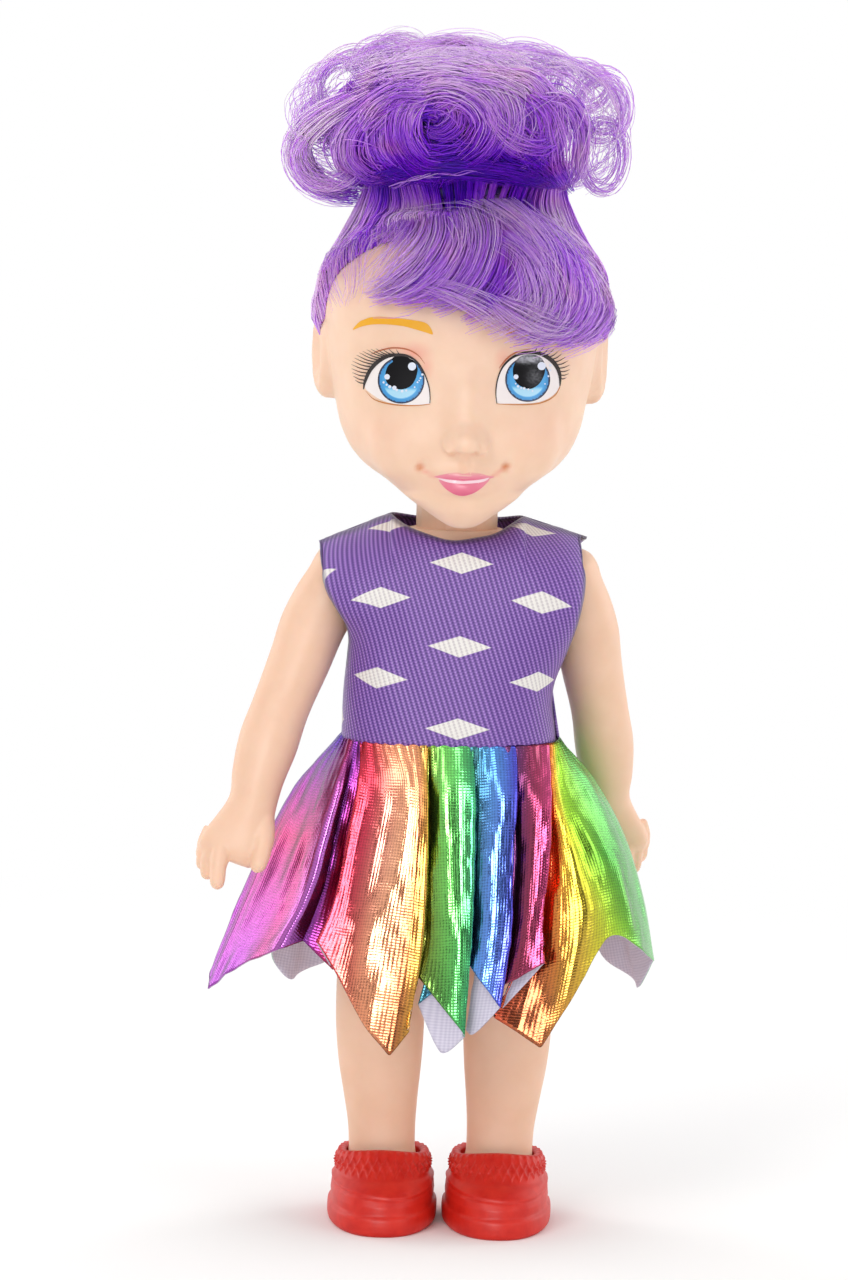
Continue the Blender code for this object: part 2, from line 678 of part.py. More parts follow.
def make_fringe(pivot):
    first, last = math.radians(FRINGE_DEGREES[0][0]), math.radians(FRINGE_DEGREES[-1][0])
    inner, outer = [], []
    for i in range(FRINGE_ROWS + 1):
        t = i / FRINGE_ROWS
        azimuths, polars, depths = [], [], []
        for k in range(FRINGE_COLUMNS + 1):
            s = k / FRINGE_COLUMNS
            azimuth = first + s * (last - first)
            root = hairline(azimuth) + PART_GAP_ANGLE
            edge = math.radians(table(math.degrees(azimuth), FRINGE_DEGREES))
            azimuths.append(azimuth)
            polars.append(edge + (root - edge) * t)
            depths.append(FRINGE_EDGE + FRINGE_BULGE * math.sin(math.pi * s) ** 0.6 * math.sin(math.pi * t) ** 0.7)
        skin = head_points(azimuths, polars, GAP)
        inner.append(list(skin))
        outer.append(list(head_points(azimuths, polars, GAP + np.array(depths))))
    fringe = new_object("fringe", slab("fringe", inner, outer), pivot, "hair")
    smooth(fringe)


def make_bun(pivot):
    floor = stalk_top() + GAP
    centre_z = floor + BUN_HALF_HEIGHT - BUN_OVERHANG / 2

    def place(azimuths, polars):
        points = []
        for a, p in zip(azimuths, polars):
            ray = Vector((math.sin(p) * math.sin(a), -math.sin(p) * math.cos(a), math.cos(p)))
            reach = sum(abs(c) ** BUN_SQUARENESS for c in ray) ** (-1 / BUN_SQUARENESS)
            curl = math.sin(5 * a + 3 * p) + math.sin(3 * a - 7 * p) * math.sin(p)
            x = BUN_X + ray.x * (BUN_HALF_WIDTH * reach + BUN_CURL * curl / 2)
            y = NECK_Y + ray.y * (BUN_HALF_DEPTH * reach + BUN_CURL * curl / 2)
            z = centre_z + ray.z * ((BUN_HALF_HEIGHT + BUN_OVERHANG / 2) * reach + BUN_CURL * curl / 2)
            spread = math.hypot(x, y - NECK_Y)
            lowest = floor - BUN_OVERHANG * ease((spread - BUN_FOOT_R) / BUN_FOOT_RUN)
            points.append((x, y, max(z, lowest)))
        return points

    bun = new_object("bun", shaped_ball("bun", BUN_SEGMENTS, BUN_RINGS, lambda p: True, place), pivot, "hair")
    smooth(bun)


# Torso

def torso_rings(inset):
    rings = []
    for height, width, depth in TORSO_SHARES:
        z = TORSO_FOOT_Z + height * TORSO_HEIGHT
        z = min(max(z, TORSO_FOOT_Z + inset), TORSO_FOOT_Z + TORSO_HEIGHT - 2 * inset)
        half_depth = depth * TORSO_HALF_DEPTH - inset
        rings.append(oval((0, 0, z), width * TORSO_HALF_WIDTH - inset, half_depth, half_depth,
                          TORSO_SQUARENESS, TORSO_POINTS))
    return [ring for k, ring in enumerate(rings) if k == 0 or ring[0][2] > rings[k - 1][0][2]]


def leg_well(name, side, grow):
    """The space that a leg's round head and thigh sweep, grown by a wall where one is asked for."""
    radius = HIP_HEAD_R + GAP + grow
    rise = THIGH_CLEAR_HEIGHT + grow
    reach = TORSO_HALF_DEPTH + OVERRUN
    below = TORSO_FOOT_Z - OVERRUN
    start = math.pi - math.asin(rise / radius)
    outline = [(-reach, below), (-reach, HIP_Z + rise)]
    for k in range(HIP_SEGMENTS // 2):
        angle = start * (1 - k / (HIP_SEGMENTS // 2 - 1))
        outline.append((radius * math.cos(angle), HIP_Z + grow * math.cos(angle) ** 2 + radius * math.sin(angle)))
    outline += [(reach, HIP_Z + grow), (reach, below)]
    ends = (side * (HIP_PLANE_X - grow), side * (TORSO_HALF_WIDTH + OVERRUN))
    rings = [[(x, y, z) for y, z in outline] for x in ends]
    return new_object(name, loft(name, rings), ROOT)


def make_torso():
    body = new_object("torso_body", loft("torso_body", torso_rings(0)), ROOT)
    cavity = new_object("torso_cavity", loft("torso_cavity", torso_rings(TORSO_WALL)), ROOT)
    for side, name in ((-1, "right"), (1, "left")):
        combine(cavity, leg_well(f"{name}_well_wall", side, TORSO_WALL), "DIFFERENCE")
    combine(body, cavity, "DIFFERENCE")

    reach = BOSS_REACH_SHARE * TORSO_HALF_DEPTH
    for k, share in enumerate(BOSS_HEIGHT_SHARES):
        z = TORSO_FOOT_Z + share * TORSO_HEIGHT
        combine(body, rod(f"boss_{k}", BOSS_R, (0, -reach, z), (0, reach, z), ROOT), "UNION")
    boss_x = SHOULDER_PLANE_X - SHOULDER_BOSS_DEPTH
    flange_x = boss_x - 2 * GAP - ARM_FLANGE_THICKNESS
    for side, name in ((-1, "right"), (1, "left")):
        combine(body, leg_well(f"{name}_well", side, 0), "DIFFERENCE")
        pad_x = SHOULDER_PLANE_X - GAP
        pad = rod(f"{name}_shoulder_pad", SHOULDER_RECESS_R - GAP, (side * boss_x, 0, SHOULDER_Z),
                  (side * pad_x, 0, SHOULDER_Z), ROOT, HIP_SEGMENTS)
        combine(body, pad, "UNION")
        face = rod(f"{name}_shoulder_face", 2 * SHOULDER_RECESS_R, (side * SHOULDER_PLANE_X, 0, SHOULDER_Z),
                   (side * (TORSO_HALF_WIDTH + OVERRUN), 0, SHOULDER_Z), ROOT, HIP_SEGMENTS)
        combine(body, face, "DIFFERENCE")
        pocket = rod(f"{name}_flange_pocket", ARM_FLANGE_R + GAP, (side * flange_x, 0, SHOULDER_Z),
                     (side * (boss_x + GAP), 0, SHOULDER_Z), ROOT)
        combine(body, pocket, "DIFFERENCE")
        hole = rod(f"{name}_shoulder_hole", ARM_PLUG_R + GAP, (side * boss_x, 0, SHOULDER_Z),
                   (side * TORSO_HALF_WIDTH, 0, SHOULDER_Z), ROOT)
        combine(body, hole, "DIFFERENCE")
    hip_hole = rod("hip_hole", LEG_PLUG_R + GAP, (-TORSO_HALF_WIDTH, 0, HIP_Z), (TORSO_HALF_WIDTH, 0, HIP_Z), ROOT)
    combine(body, hip_hole, "DIFFERENCE")

    knob_foot = HEAD_LIP_Z + HEAD_WALL + NECK_KNOB_PLAY
    knob_top = knob_foot + NECK_KNOB_HEIGHT
    bevel = NECK_KNOB_HEIGHT / 4
    profile = (
        (0, knob_top), (NECK_KNOB_R - 2 * bevel, knob_top), (NECK_KNOB_R, knob_top - 2 * bevel),
        (NECK_KNOB_R, knob_foot + bevel), (NECK_GROOVE_R, knob_foot), (NECK_GROOVE_R, NECK_TOP_Z),
        (NECK_R, NECK_TOP_Z), (NECK_R, NECK_FOOT_Z), (0, NECK_FOOT_Z),
    )
    neck = turned("neck", profile, TORSO_POINTS, ROOT, (0, NECK_Y, 0))
    combine(body, neck, "UNION")
    weld(body)

    reach = NECK_Y + TORSO_HALF_DEPTH + OVERRUN
    span = TORSO_HALF_WIDTH + OVERRUN
    low, high = TORSO_FOOT_Z - OVERRUN, knob_top + OVERRUN
    seam = GAP / 2
    front = block("torso_front", (-span, -reach, low), (span, -seam, high), ROOT, "skin")
    back = block("torso_back", (-span, seam, low), (span, reach, high), ROOT, "skin")
    combine(front, body, "INTERSECT")
    combine(back, body, "INTERSECT")
    weld(front)
    weld(back)
    for k, share in enumerate(BOSS_HEIGHT_SHARES):
        z = TORSO_FOOT_Z + share * TORSO_HEIGHT
        pin = rod(f"pin_{k}", PIN_R, (0, -PIN_LENGTH, z), (0, PIN_LENGTH, z), ROOT)
        socket = rod(f"socket_{k}", PIN_R + GAP, (0, -seam, z), (0, PIN_LENGTH + GAP, z), ROOT)
        combine(front, pin, "UNION")
        combine(back, socket, "DIFFERENCE")
    smooth(front)
    smooth(back)


# Arms

def arm_frame(side, spread):
    """Reads a place beside, behind and along the arm as a place in the doll's frame."""
    c, s = math.cos(spread), math.sin(spread)

    def place(out, back, along):
        return (side * (SHOULDER_X + out * c + along * s), back, SHOULDER_Z + out * s - along * c)

    return place


def limb(name, stations, place, count, pivot, finish=None):
    """Stations are (out, back, along, half width, half depth)."""
    rings = []
    for out, back, along, half_width, half_depth in stations:
        flat = oval((out, back, along), half_width, half_depth, half_depth, 2, count)
        rings.append([place(*point) for point in flat])
    return new_object(name, loft(name, rings), pivot, finish)


def make_arm(name, side, spread, swing):
    pivot = new_empty(f"{name}_pivot", (side * SHOULDER_PLANE_X, 0, SHOULDER_Z), ROOT)
    place = arm_frame(side, spread)
    stations = [(bow * ARM_BOW, 0, along * ARM_LENGTH, width * ARM_HALF_WIDTH, depth * ARM_HALF_DEPTH)
                for along, bow, width, depth in ARM_SHARES]
    arm = limb(name, stations, place, ARM_POINTS, pivot, "skin")
    for k, (out, tip_out, back, tip_back, root, tip, size) in enumerate(DIGIT_SHARES):
        digit = []
        for run, swell in DIGIT_SWELL_SHARES:
            digit.append(((out + run * (tip_out - out)) * PALM_HALF_WIDTH,
                          (back + run * (tip_back - back)) * PALM_HALF_WIDTH,
                          (root + run * (tip - root)) * ARM_LENGTH,
                          swell * size * FINGER_R, swell * size * FINGER_R))
        combine(arm, limb(f"{name}_digit_{k}", digit, place, DIGIT_POINTS, pivot), "UNION")
    face_x = SHOULDER_PLANE_X + GAP
    reach = ARM_LENGTH
    low = (-face_x, -reach, SHOULDER_Z - reach) if side < 0 else (-OVERRUN, -reach, SHOULDER_Z - reach)
    high = (OVERRUN, reach, SHOULDER_Z + reach) if side < 0 else (face_x, reach, SHOULDER_Z + reach)
    combine(arm, block(f"{name}_face", low, high, pivot), "DIFFERENCE")
    flange_x = SHOULDER_PLANE_X - SHOULDER_BOSS_DEPTH
    profile = (
        (0, SHOULDER_X), (ARM_PLUG_R, SHOULDER_X), (ARM_PLUG_R, flange_x), (ARM_FLANGE_R, flange_x),
        (ARM_FLANGE_R, flange_x - ARM_FLANGE_THICKNESS), (0, flange_x - ARM_FLANGE_THICKNESS),
    )
    plug = turned(f"{name}_plug", profile, ARM_PLUG_SEGMENTS, pivot, (0, 0, SHOULDER_Z), side)
    combine(arm, plug, "UNION")
    smooth(arm)
    pivot.rotation_euler = (swing, 0, 0)


# Legs and shoes

def shoe_ring(row, side, inset, z):
    height, width, toe, heel, ruffle = SHOE_SHARES[row]
    ring = oval((side * SHOE_X, 0, z), width * SHOE_HALF_WIDTH - inset, toe * SHOE_TOE - inset,
                heel * SHOE_HEEL - inset, SHOE_SQUARENESS, LEG_POINTS)
    centre = Vector((side * SHOE_X, 0, z))
    shaped = []
    for k, point in enumerate(ring):
        out = (Vector(point) - centre).normalized()
        lift = COLLAR_FRONT_RISE * max(-out.y, 0) ** 2 * ease((height - SHOE_SHARES[5][0]) / (1 - SHOE_SHARES[5][0]))
        shaped.append(Vector(point) + out * SHOE_RUFFLE * ruffle * (k % 2) + Vector((0, 0, lift)))
    return shaped


def make_shoe(name, side, pivot):
    rings = [shoe_ring(row, side, 0, SHOE_SHARES[row][0] * SHOE_HEIGHT) for row in range(len(SHOE_SHARES))]
    shoe = new_object(name, loft(name, rings, top=False), pivot, "shoe")
    thicken(shoe, SHOE_WALL, -1)
    petals = []
    for k in range(FLOWER_POINTS):
        angle = 2 * math.pi * k / FLOWER_POINTS
        r = FLOWER_R * (1 + FLOWER_LOBE_SHARE * math.cos(FLOWER_PETALS * angle))
        petals.append((r * math.cos(angle), r * math.sin(angle)))
    rings = [[(x, y, h) for x, y in petals] for h in (-FLOWER_THICKNESS, FLOWER_THICKNESS)]
    flower = new_object(f"{name}_flower", loft(f"{name}_flower", rings), pivot)
    flower.location = flower.location + Vector((side * SHOE_X, FLOWER_Y, FLOWER_Z))
    flower.rotation_euler = (-FLOWER_TILT, 0, 0)
    combine(shoe, flower, "UNION")
    smooth(shoe)


def make_leg(name, side, pivot):
    inset = SHOE_WALL + GAP
    sole = SHOE_WALL + GAP
    rings = [shoe_ring(FOOT_ROWS[0], side, inset + FOOT_SOLE_INSET, sole)]
    for row in FOOT_ROWS:
        rings.append(shoe_ring(row, side, inset, max(SHOE_SHARES[row][0] * SHOE_HEIGHT - inset, sole + GAP)))
    for height, centre, width, front, back in LEG_SHARES:
        rings.append(oval((side * centre * LEG_X, 0, height * HIP_Z), width * LEG_HALF_WIDTH,
                          front * LEG_HALF_DEPTH, back * LEG_HALF_DEPTH, 2, LEG_POINTS))
    leg = new_object(name, loft(name, rings), pivot, "skin")
    face = HIP_PLANE_X + GAP
    edge = LEG_FLANGE_THICKNESS
    flange_x = HIP_PLANE_X - TORSO_WALL - GAP
    profile = (
        (0, HIP_OUTER_X), (HIP_HEAD_R / 2, HIP_OUTER_X - edge / 4), (HIP_HEAD_R * 3 / 4, HIP_OUTER_X - edge),
        (HIP_HEAD_R - edge / 2, HIP_OUTER_X - 2 * edge), (HIP_HEAD_R, HIP_OUTER_X - 4 * edge),
        (HIP_HEAD_R, face + edge / 2), (HIP_HEAD_R - edge / 2, face), (LEG_PLUG_R, face),
        (LEG_PLUG_R, flange_x), (LEG_FLANGE_R, flange_x), (LEG_FLANGE_R, flange_x - LEG_FLANGE_THICKNESS),
        (0, flange_x - LEG_FLANGE_THICKNESS),
    )
    hip = turned(f"{name}_hip", profile, HIP_SEGMENTS, pivot, (0, 0, HIP_Z), side)
    combine(leg, hip, "UNION")
    smooth(leg)


# Bodice and closure

def armhole_bulge(t, start):
    """How far the armhole's edge stands in front of or behind the arm's middle."""
    crest = ARMHOLE_CREST_SHARE
    if t < crest:
        return ARMHOLE_DEPTH * ease((t - start) / (crest - start))
    return ARMHOLE_DEPTH * math.sqrt(max(1 - ((t - crest) / (1 - crest)) ** 2, 0))


def top_edge(x, tip_z, centre_z, centre_depth):
    """Height and depth of the top edge at x: the neckline, then the shoulder seam."""
    tip_x = BODICE_HALF_WIDTH * RIGHT_EDGE_SHARES[-1][1]
    share = abs(x) / NECK_POINT_X
    if share < 1:
        return centre_z + (NECK_POINT_Z - centre_z) * share**2, centre_depth * math.sqrt(1 - share**2)
    slope = (abs(x) - NECK_POINT_X) / (tip_x - NECK_POINT_X)
    return NECK_POINT_Z + (tip_z - NECK_POINT_Z) * slope, 0


def bodice_point(x_share, t, front):
    """A point of the cloth's inner face; x_share runs from -1 at the right edge to 1 at the left."""
    right = x_share < 0
    if front:
        edges = RIGHT_EDGE_SHARES if right else LEFT_EDGE_SHARES
        start = RIGHT_ARMHOLE_SHARE if right else LEFT_ARMHOLE_SHARE
        centre_z, centre_depth = NECK_FRONT_Z, NECK_FRONT_Y
    else:
        edges, start = BACK_EDGE_SHARES, BACK_ARMHOLE_SHARE
        centre_z, centre_depth = NECK_BACK_Z, NECK_BACK_Y
    width = BODICE_HALF_WIDTH * table(t, edges)
    top_x = x_share * BODICE_HALF_WIDTH * edges[-1][1]
    z_top, depth_top = top_edge(top_x, RIGHT_TIP_Z if right else LEFT_TIP_Z, centre_z, centre_depth)
    z = WAIST_Z + (z_top - WAIST_Z) * t
    bulge = armhole_bulge(t, start)
    body = bulge + (BODICE_DEPTH - bulge) * (1 - abs(x_share) ** BODICE_SQUARENESS) ** (1 / BODICE_SQUARENESS)
    if t > YOKE_SHARE:
        fall = math.sqrt(max(1 - ((t - YOKE_SHARE) / (1 - YOKE_SHARE)) ** 2, 0))
        body = depth_top + (body - depth_top) * fall if abs(x_share) < 1 else bulge
    depth = max(body, SEAM_GAP)
    return Vector((x_share * width, -depth if front else depth, z))


def row_share(i, rows):
    """Rows stand closer together towards the shoulder."""
    return 1 - (1 - i / rows) ** ROW_CROWDING


def make_bodice_front():
    grid = []
    for i in range(BODICE_ROWS + 1):
        t = row_share(i, BODICE_ROWS)
        grid.append([bodice_point(2 * k / BODICE_COLUMNS - 1, t, True) for k in range(BODICE_COLUMNS + 1)])
    panel = new_object("bodice_front", sheet("bodice_front", grid), ROOT, "knit")
    thicken(panel, CLOTH, 1)
    smooth(panel)


def stack_height(layer):
    """Depth of a layer at the closure: inner cloth, loop tape, hook tape, outer cloth."""
    return (0, CLOTH + GAP, CLOTH + TAPE_THICKNESS + 2 * GAP, CLOTH + 2 * TAPE_THICKNESS + 3 * GAP)[layer]


def back_grid(x_from, x_to, outer_layer, t_from=0, t_to=1, rows=BODICE_ROWS, columns=BODICE_COLUMNS, lift=0):
    """Rows of points of the back; seen from behind, the rows run up and the points run right."""
    grid = []
    for i in range(rows + 1):
        t = t_from + (t_to - t_from) * row_share(i, rows)
        half = BODICE_HALF_WIDTH * table(t, BACK_EDGE_SHARES)
        row = []
        for k in range(columns + 1):
            x = x_from + (x_to - x_from) * k / columns if abs(x_to) < half and abs(x_from) < half else None
            if x is None:
                near = x_from if abs(x_from) < abs(x_to) else x_to
                far = half if (x_to > half or x_from > half) else -half
                run = k / columns if near == x_from else 1 - k / columns
                x = near + (far - near) * run
            point = bodice_point(max(-1, min(1, x / half)), t, False)
            raised = lift
            if outer_layer:
                raised += stack_height(3) * (1 - ease((x - OVERLAP) / OVERLAP_RAMP))
            point.y += raised
            row.append(point)
        grid.append(row)
    return grid


def make_closure():
    beyond = 2 * BODICE_HALF_WIDTH
    left = new_object("bodice_back_left", sheet("bodice_back_left", back_grid(beyond, -OVERLAP, True)), ROOT, "knit")
    right = new_object("bodice_back_right", sheet("bodice_back_right", back_grid(OVERLAP, -beyond, False)),
                       ROOT, "knit")
    for panel in (left, right):
        thicken(panel, CLOTH, 1)
        smooth(panel)
    t_from, t_to = TAPE_SPAN_SHARES
    for name, layer in (("loop_tape", 1), ("hook_tape", 2)):
        grid = back_grid(TAPE_HALF_WIDTH, -TAPE_HALF_WIDTH, False, t_from, t_to, TAPE_ROWS, 2, stack_height(layer))
        tape = new_object(name, sheet(name, grid), ROOT, "tape")
        thicken(tape, TAPE_THICKNESS, 1)


# Skirt

def hem_columns():
    """Angle, fall and pleat of each column: pleats stand out at the hem's tips and fold in at its valleys."""
    columns = []
    for (a, fall_a), (b, fall_b) in zip(HEM_SHARES, HEM_SHARES[1:]):
        steps = max(2, round(math.radians(b - a) / SKIRT_COLUMN_ANGLE))
        for k in range(steps):
            columns.append((a + (b - a) * k / steps, fall_a + (fall_b - fall_a) * k / steps))
    columns.append(HEM_SHARES[-1])
    falls = [fall for _, fall in HEM_SHARES]
    middle = (min(falls) + max(falls)) / 2
    half = (max(falls) - min(falls)) / 2
    return [(math.radians(angle), fall, (fall - middle) / half) for angle, fall in columns]


def make_skirt():
    grid = []
    columns = hem_columns()
    for i in range(SKIRT_ROWS + 1):
        t = 1 - i / SKIRT_ROWS
        row = []
        for angle, fall, pleat in columns:
            c, s = math.cos(angle), math.sin(angle)
            drop = t * fall
            around = (abs(c / SKIRT_WAIST_HALF_WIDTH) ** BODICE_SQUARENESS
                      + abs(s / SKIRT_WAIST_DEPTH) ** BODICE_SQUARENESS) ** (-1 / BODICE_SQUARENESS)
            degrees = (math.degrees(angle) + 180) % 360 - 180
            hem = SKIRT_REACH * table(degrees, SKIRT_REACH_SHARES)
            reach = around + (hem - around) * drop**SKIRT_FLARE + PLEAT_DEPTH * pleat * t
            row.append((reach * c, reach * s, SKIRT_TOP_Z - SKIRT_LENGTH * drop))
        grid.append(row)
    skirt = new_object("skirt", sheet("skirt", grid), ROOT, "foil")
    thicken(skirt, CLOTH, 1)
    smooth(skirt)


def centre_over_origin():
    """Moves the root so that the doll's box is centred over the origin and stands on the floor."""
    bpy.context.view_layer.update()
    graph = bpy.context.evaluated_depsgraph_get()
    corners = []
    for obj in PARTS.objects:
        if obj.type == "MESH":
            shown = obj.evaluated_get(graph)
            corners.extend(shown.matrix_world @ vert.co for vert in shown.data.vertices)
    low = [min(p[k] for p in corners) for k in range(3)]
    high = [max(p[k] for p in corners) for k in range(3)]
    ROOT.location = (-(low[0] + high[0]) / 2, -(low[1] + high[1]) / 2, -low[2])
    bpy.context.view_layer.update()


clear_scene()
PARTS = new_collection(OBJECT_NAME)
TOOLS = new_collection("cutters")
MATERIALS = make_materials()
ROOT = new_empty("doll_root", (0, 0, 0))

make_torso()
head_pivot = new_empty("head_pivot", (0, NECK_Y, NECK_TOP_Z), ROOT)
make_head(head_pivot)
make_hair_cap(head_pivot)
make_tie(head_pivot)
make_fringe(head_pivot)
make_bun(head_pivot)
head_pivot.rotation_euler = (0, 0, HEAD_TURN)
make_arm("right_arm", -1, RIGHT_ARM_SPREAD, RIGHT_ARM_SWING)
make_arm("left_arm", 1, LEFT_ARM_SPREAD, LEFT_ARM_SWING)
for side_name, side_sign in (("right", -1), ("left", 1)):
    leg_pivot = new_empty(f"{side_name}_leg_pivot", (side_sign * HIP_PLANE_X, 0, HIP_Z), ROOT)
    make_leg(f"{side_name}_leg", side_sign, leg_pivot)
    make_shoe(f"{side_name}_shoe", side_sign, leg_pivot)
make_bodice_front()
make_closure()
make_skirt()
centre_over_origin()
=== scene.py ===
import json
import math

import bpy
import numpy as np
from mathutils import Matrix, Vector
from mathutils.bvhtree import BVHTree
from mathutils.geometry import delaunay_2d_cdt


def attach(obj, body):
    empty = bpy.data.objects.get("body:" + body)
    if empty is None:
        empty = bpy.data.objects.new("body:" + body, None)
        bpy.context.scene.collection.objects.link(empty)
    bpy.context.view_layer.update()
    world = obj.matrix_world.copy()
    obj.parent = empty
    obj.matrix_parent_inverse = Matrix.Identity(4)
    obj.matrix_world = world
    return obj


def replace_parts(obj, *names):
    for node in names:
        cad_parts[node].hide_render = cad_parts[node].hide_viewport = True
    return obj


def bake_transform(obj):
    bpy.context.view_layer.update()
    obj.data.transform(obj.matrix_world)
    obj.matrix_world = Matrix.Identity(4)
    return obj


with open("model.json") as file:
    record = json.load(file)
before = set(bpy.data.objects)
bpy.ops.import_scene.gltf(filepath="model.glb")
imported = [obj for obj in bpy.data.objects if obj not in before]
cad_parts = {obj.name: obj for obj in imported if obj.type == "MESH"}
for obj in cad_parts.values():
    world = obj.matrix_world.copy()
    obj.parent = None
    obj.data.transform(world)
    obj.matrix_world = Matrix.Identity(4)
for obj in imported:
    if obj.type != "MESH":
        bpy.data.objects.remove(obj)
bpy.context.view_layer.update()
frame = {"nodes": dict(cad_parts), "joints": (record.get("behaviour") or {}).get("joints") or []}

# Shapes are drawn in millimetres about the doll's mid plane and brought to the row frame by toRow.
mm = 0.001
neckPlace = next(Vector(joint["pos_m"]) for joint in frame["joints"] if joint["name"] == "neck_turn")
dollOrigin = np.array((neckPlace.x, neckPlace.y - 0.0015, 0.0))
eyePoint = np.array((0.0, -650.0, 158.0))
rng = np.random.default_rng(7)


# Helpers for shapes

def toRow(points):
    return np.asarray(points, float) * mm + dollOrigin


def rowPoint(x, y, z):
    return Vector(toRow((x, y, z)))


def linked(name, data):
    obj = bpy.data.objects.new(name, data)
    bpy.context.scene.collection.objects.link(obj)
    return obj


def addMesh(name, points, faces, material):
    mesh = bpy.data.meshes.new(name)
    mesh.from_pydata(toRow(points).tolist(), [], np.asarray(faces).tolist() if isinstance(faces, np.ndarray)
                     else faces)
    mesh.shade_smooth()
    mesh.materials.append(material)
    return linked(name, mesh)


def setValues(obj, name, values, kind="FLOAT"):
    attribute = obj.data.attributes.new(name, kind, "POINT")
    key = "vector" if kind == "FLOAT_VECTOR" else "value"
    attribute.data.foreach_set(key, np.asarray(values, np.float32).ravel())


def gridFaces(rows, columns, closed=False):
    i, k = np.meshgrid(np.arange(rows - 1), np.arange(columns if closed else columns - 1), indexing="ij")
    j = (k + 1) % columns
    faces = np.stack((i * columns + k, i * columns + j, (i + 1) * columns + j, (i + 1) * columns + k),
                     axis=-1)
    return faces.reshape(-1, 4)


def slabOf(inner, outer):
    # closed points and faces between two open grids; rows run up and columns right, seen from the outer side
    rows, columns = inner.shape[:2]
    shift = rows * columns
    skin = gridFaces(rows, columns)
    edge = [k for k in range(columns)] + [i * columns + columns - 1 for i in range(1, rows)]
    edge += [(rows - 1) * columns + k for k in range(columns - 2, -1, -1)]
    edge += [i * columns for i in range(rows - 2, 0, -1)]
    rim = [(a, b, b + shift, a + shift) for a, b in zip(edge, edge[1:] + edge[:1])]
    points = np.concatenate((inner.reshape(-1, 3), outer.reshape(-1, 3)))
    return points, skin[:, ::-1].tolist(), (skin + shift).tolist(), rim


def rim(row, columns, tip, outward):
    # triangles from one ring of a closed grid to its tip
    ends = [(row * columns + k, row * columns + (k + 1) % columns, tip) for k in range(columns)]
    return ends if outward else [(b, a, tip) for a, b, tip in ends]


def gridNormals(grid):
    along = np.gradient(grid, axis=0)
    across = np.gradient(grid, axis=1)
    normal = np.cross(across, along)
    return normal / np.maximum(np.linalg.norm(normal, axis=-1, keepdims=True), 1e-9)


# smooth reading of a table whose rows are (x, value)
def smoothTable(x, rows):
    xs = np.array([row[0] for row in rows], float)
    ys = np.array([row[1] for row in rows], float)
    slopes = np.gradient(ys, xs)
    x = np.asarray(x, float)
    i = np.clip(np.searchsorted(xs, x) - 1, 0, len(xs) - 2)
    span = xs[i + 1] - xs[i]
    t = np.clip((x - xs[i]) / span, 0, 1)
    low = 2 * t**3 - 3 * t**2 + 1
    rise, fall = t**3 - 2 * t**2 + t, t**3 - t**2
    return low * ys[i] + (1 - low) * ys[i + 1] + span * (rise * slopes[i] + fall * slopes[i + 1])


def column(rows, k):
    return [(row[0], row[k]) for row in rows]


def ease(x):
    x = np.clip(x, 0, 1)
    return x * x * (3 - 2 * x)


# points evenly spread along a smooth line through the given ones
def splineThrough(points, count, closed=False):
    p = np.asarray(points, float)
    if closed:
        p = np.concatenate((p[-1:], p, p[:2]))
    else:
        p = np.concatenate((2 * p[:1] - p[1:2], p, 2 * p[-1:] - p[-2:-1]))
    spans = len(p) - 3
    u = np.linspace(0, spans, count, endpoint=not closed)
    i = np.minimum(u.astype(int), spans - 1)
    t = (u - i)[:, None]
    a, b, c, d = p[i], p[i + 1], p[i + 2], p[i + 3]
    return 0.5 * (2 * b + (c - a) * t + (2 * a - 5 * b + 4 * c - d) * t**2 + (3 * b - a - 3 * c + d) * t**3)


# smooth noise from -1 to 1 on points in millimetres
def hashNoise(points, scale, seed=0):
    q = np.asarray(points, float) / scale + seed * 17.31
    base = np.floor(q).astype(np.int64)
    f = q - base
    f = f * f * (3 - 2 * f)
    total = np.zeros(len(q))
    for dx in (0, 1):
        for dy in (0, 1):
            for dz in (0, 1):
                cell = base + np.array((dx, dy, dz))
                h = (cell[:, 0] * 374761393 + cell[:, 1] * 668265263 + cell[:, 2] * 2147483647) & 0xFFFFFFFF
                h = ((h ^ (h >> 13)) * 1274126177) & 0xFFFFFFFF
                value = ((h ^ (h >> 16)) & 0xFFFF) / 32767.5 - 1
                weight = np.where(dx, f[:, 0], 1 - f[:, 0]) * np.where(dy, f[:, 1], 1 - f[:, 1])
                total += value * weight * np.where(dz, f[:, 2], 1 - f[:, 2])
    return total


# Colours and materials

# a colour as seen on a screen, 0 to 255, as the shader wants it
def tint(r, g, b):
    linear = [(c / 255 / 12.92) if c <= 10 else ((c / 255 + 0.055) / 1.055) ** 2.4 for c in (r, g, b)]
    return (*linear, 1.0)


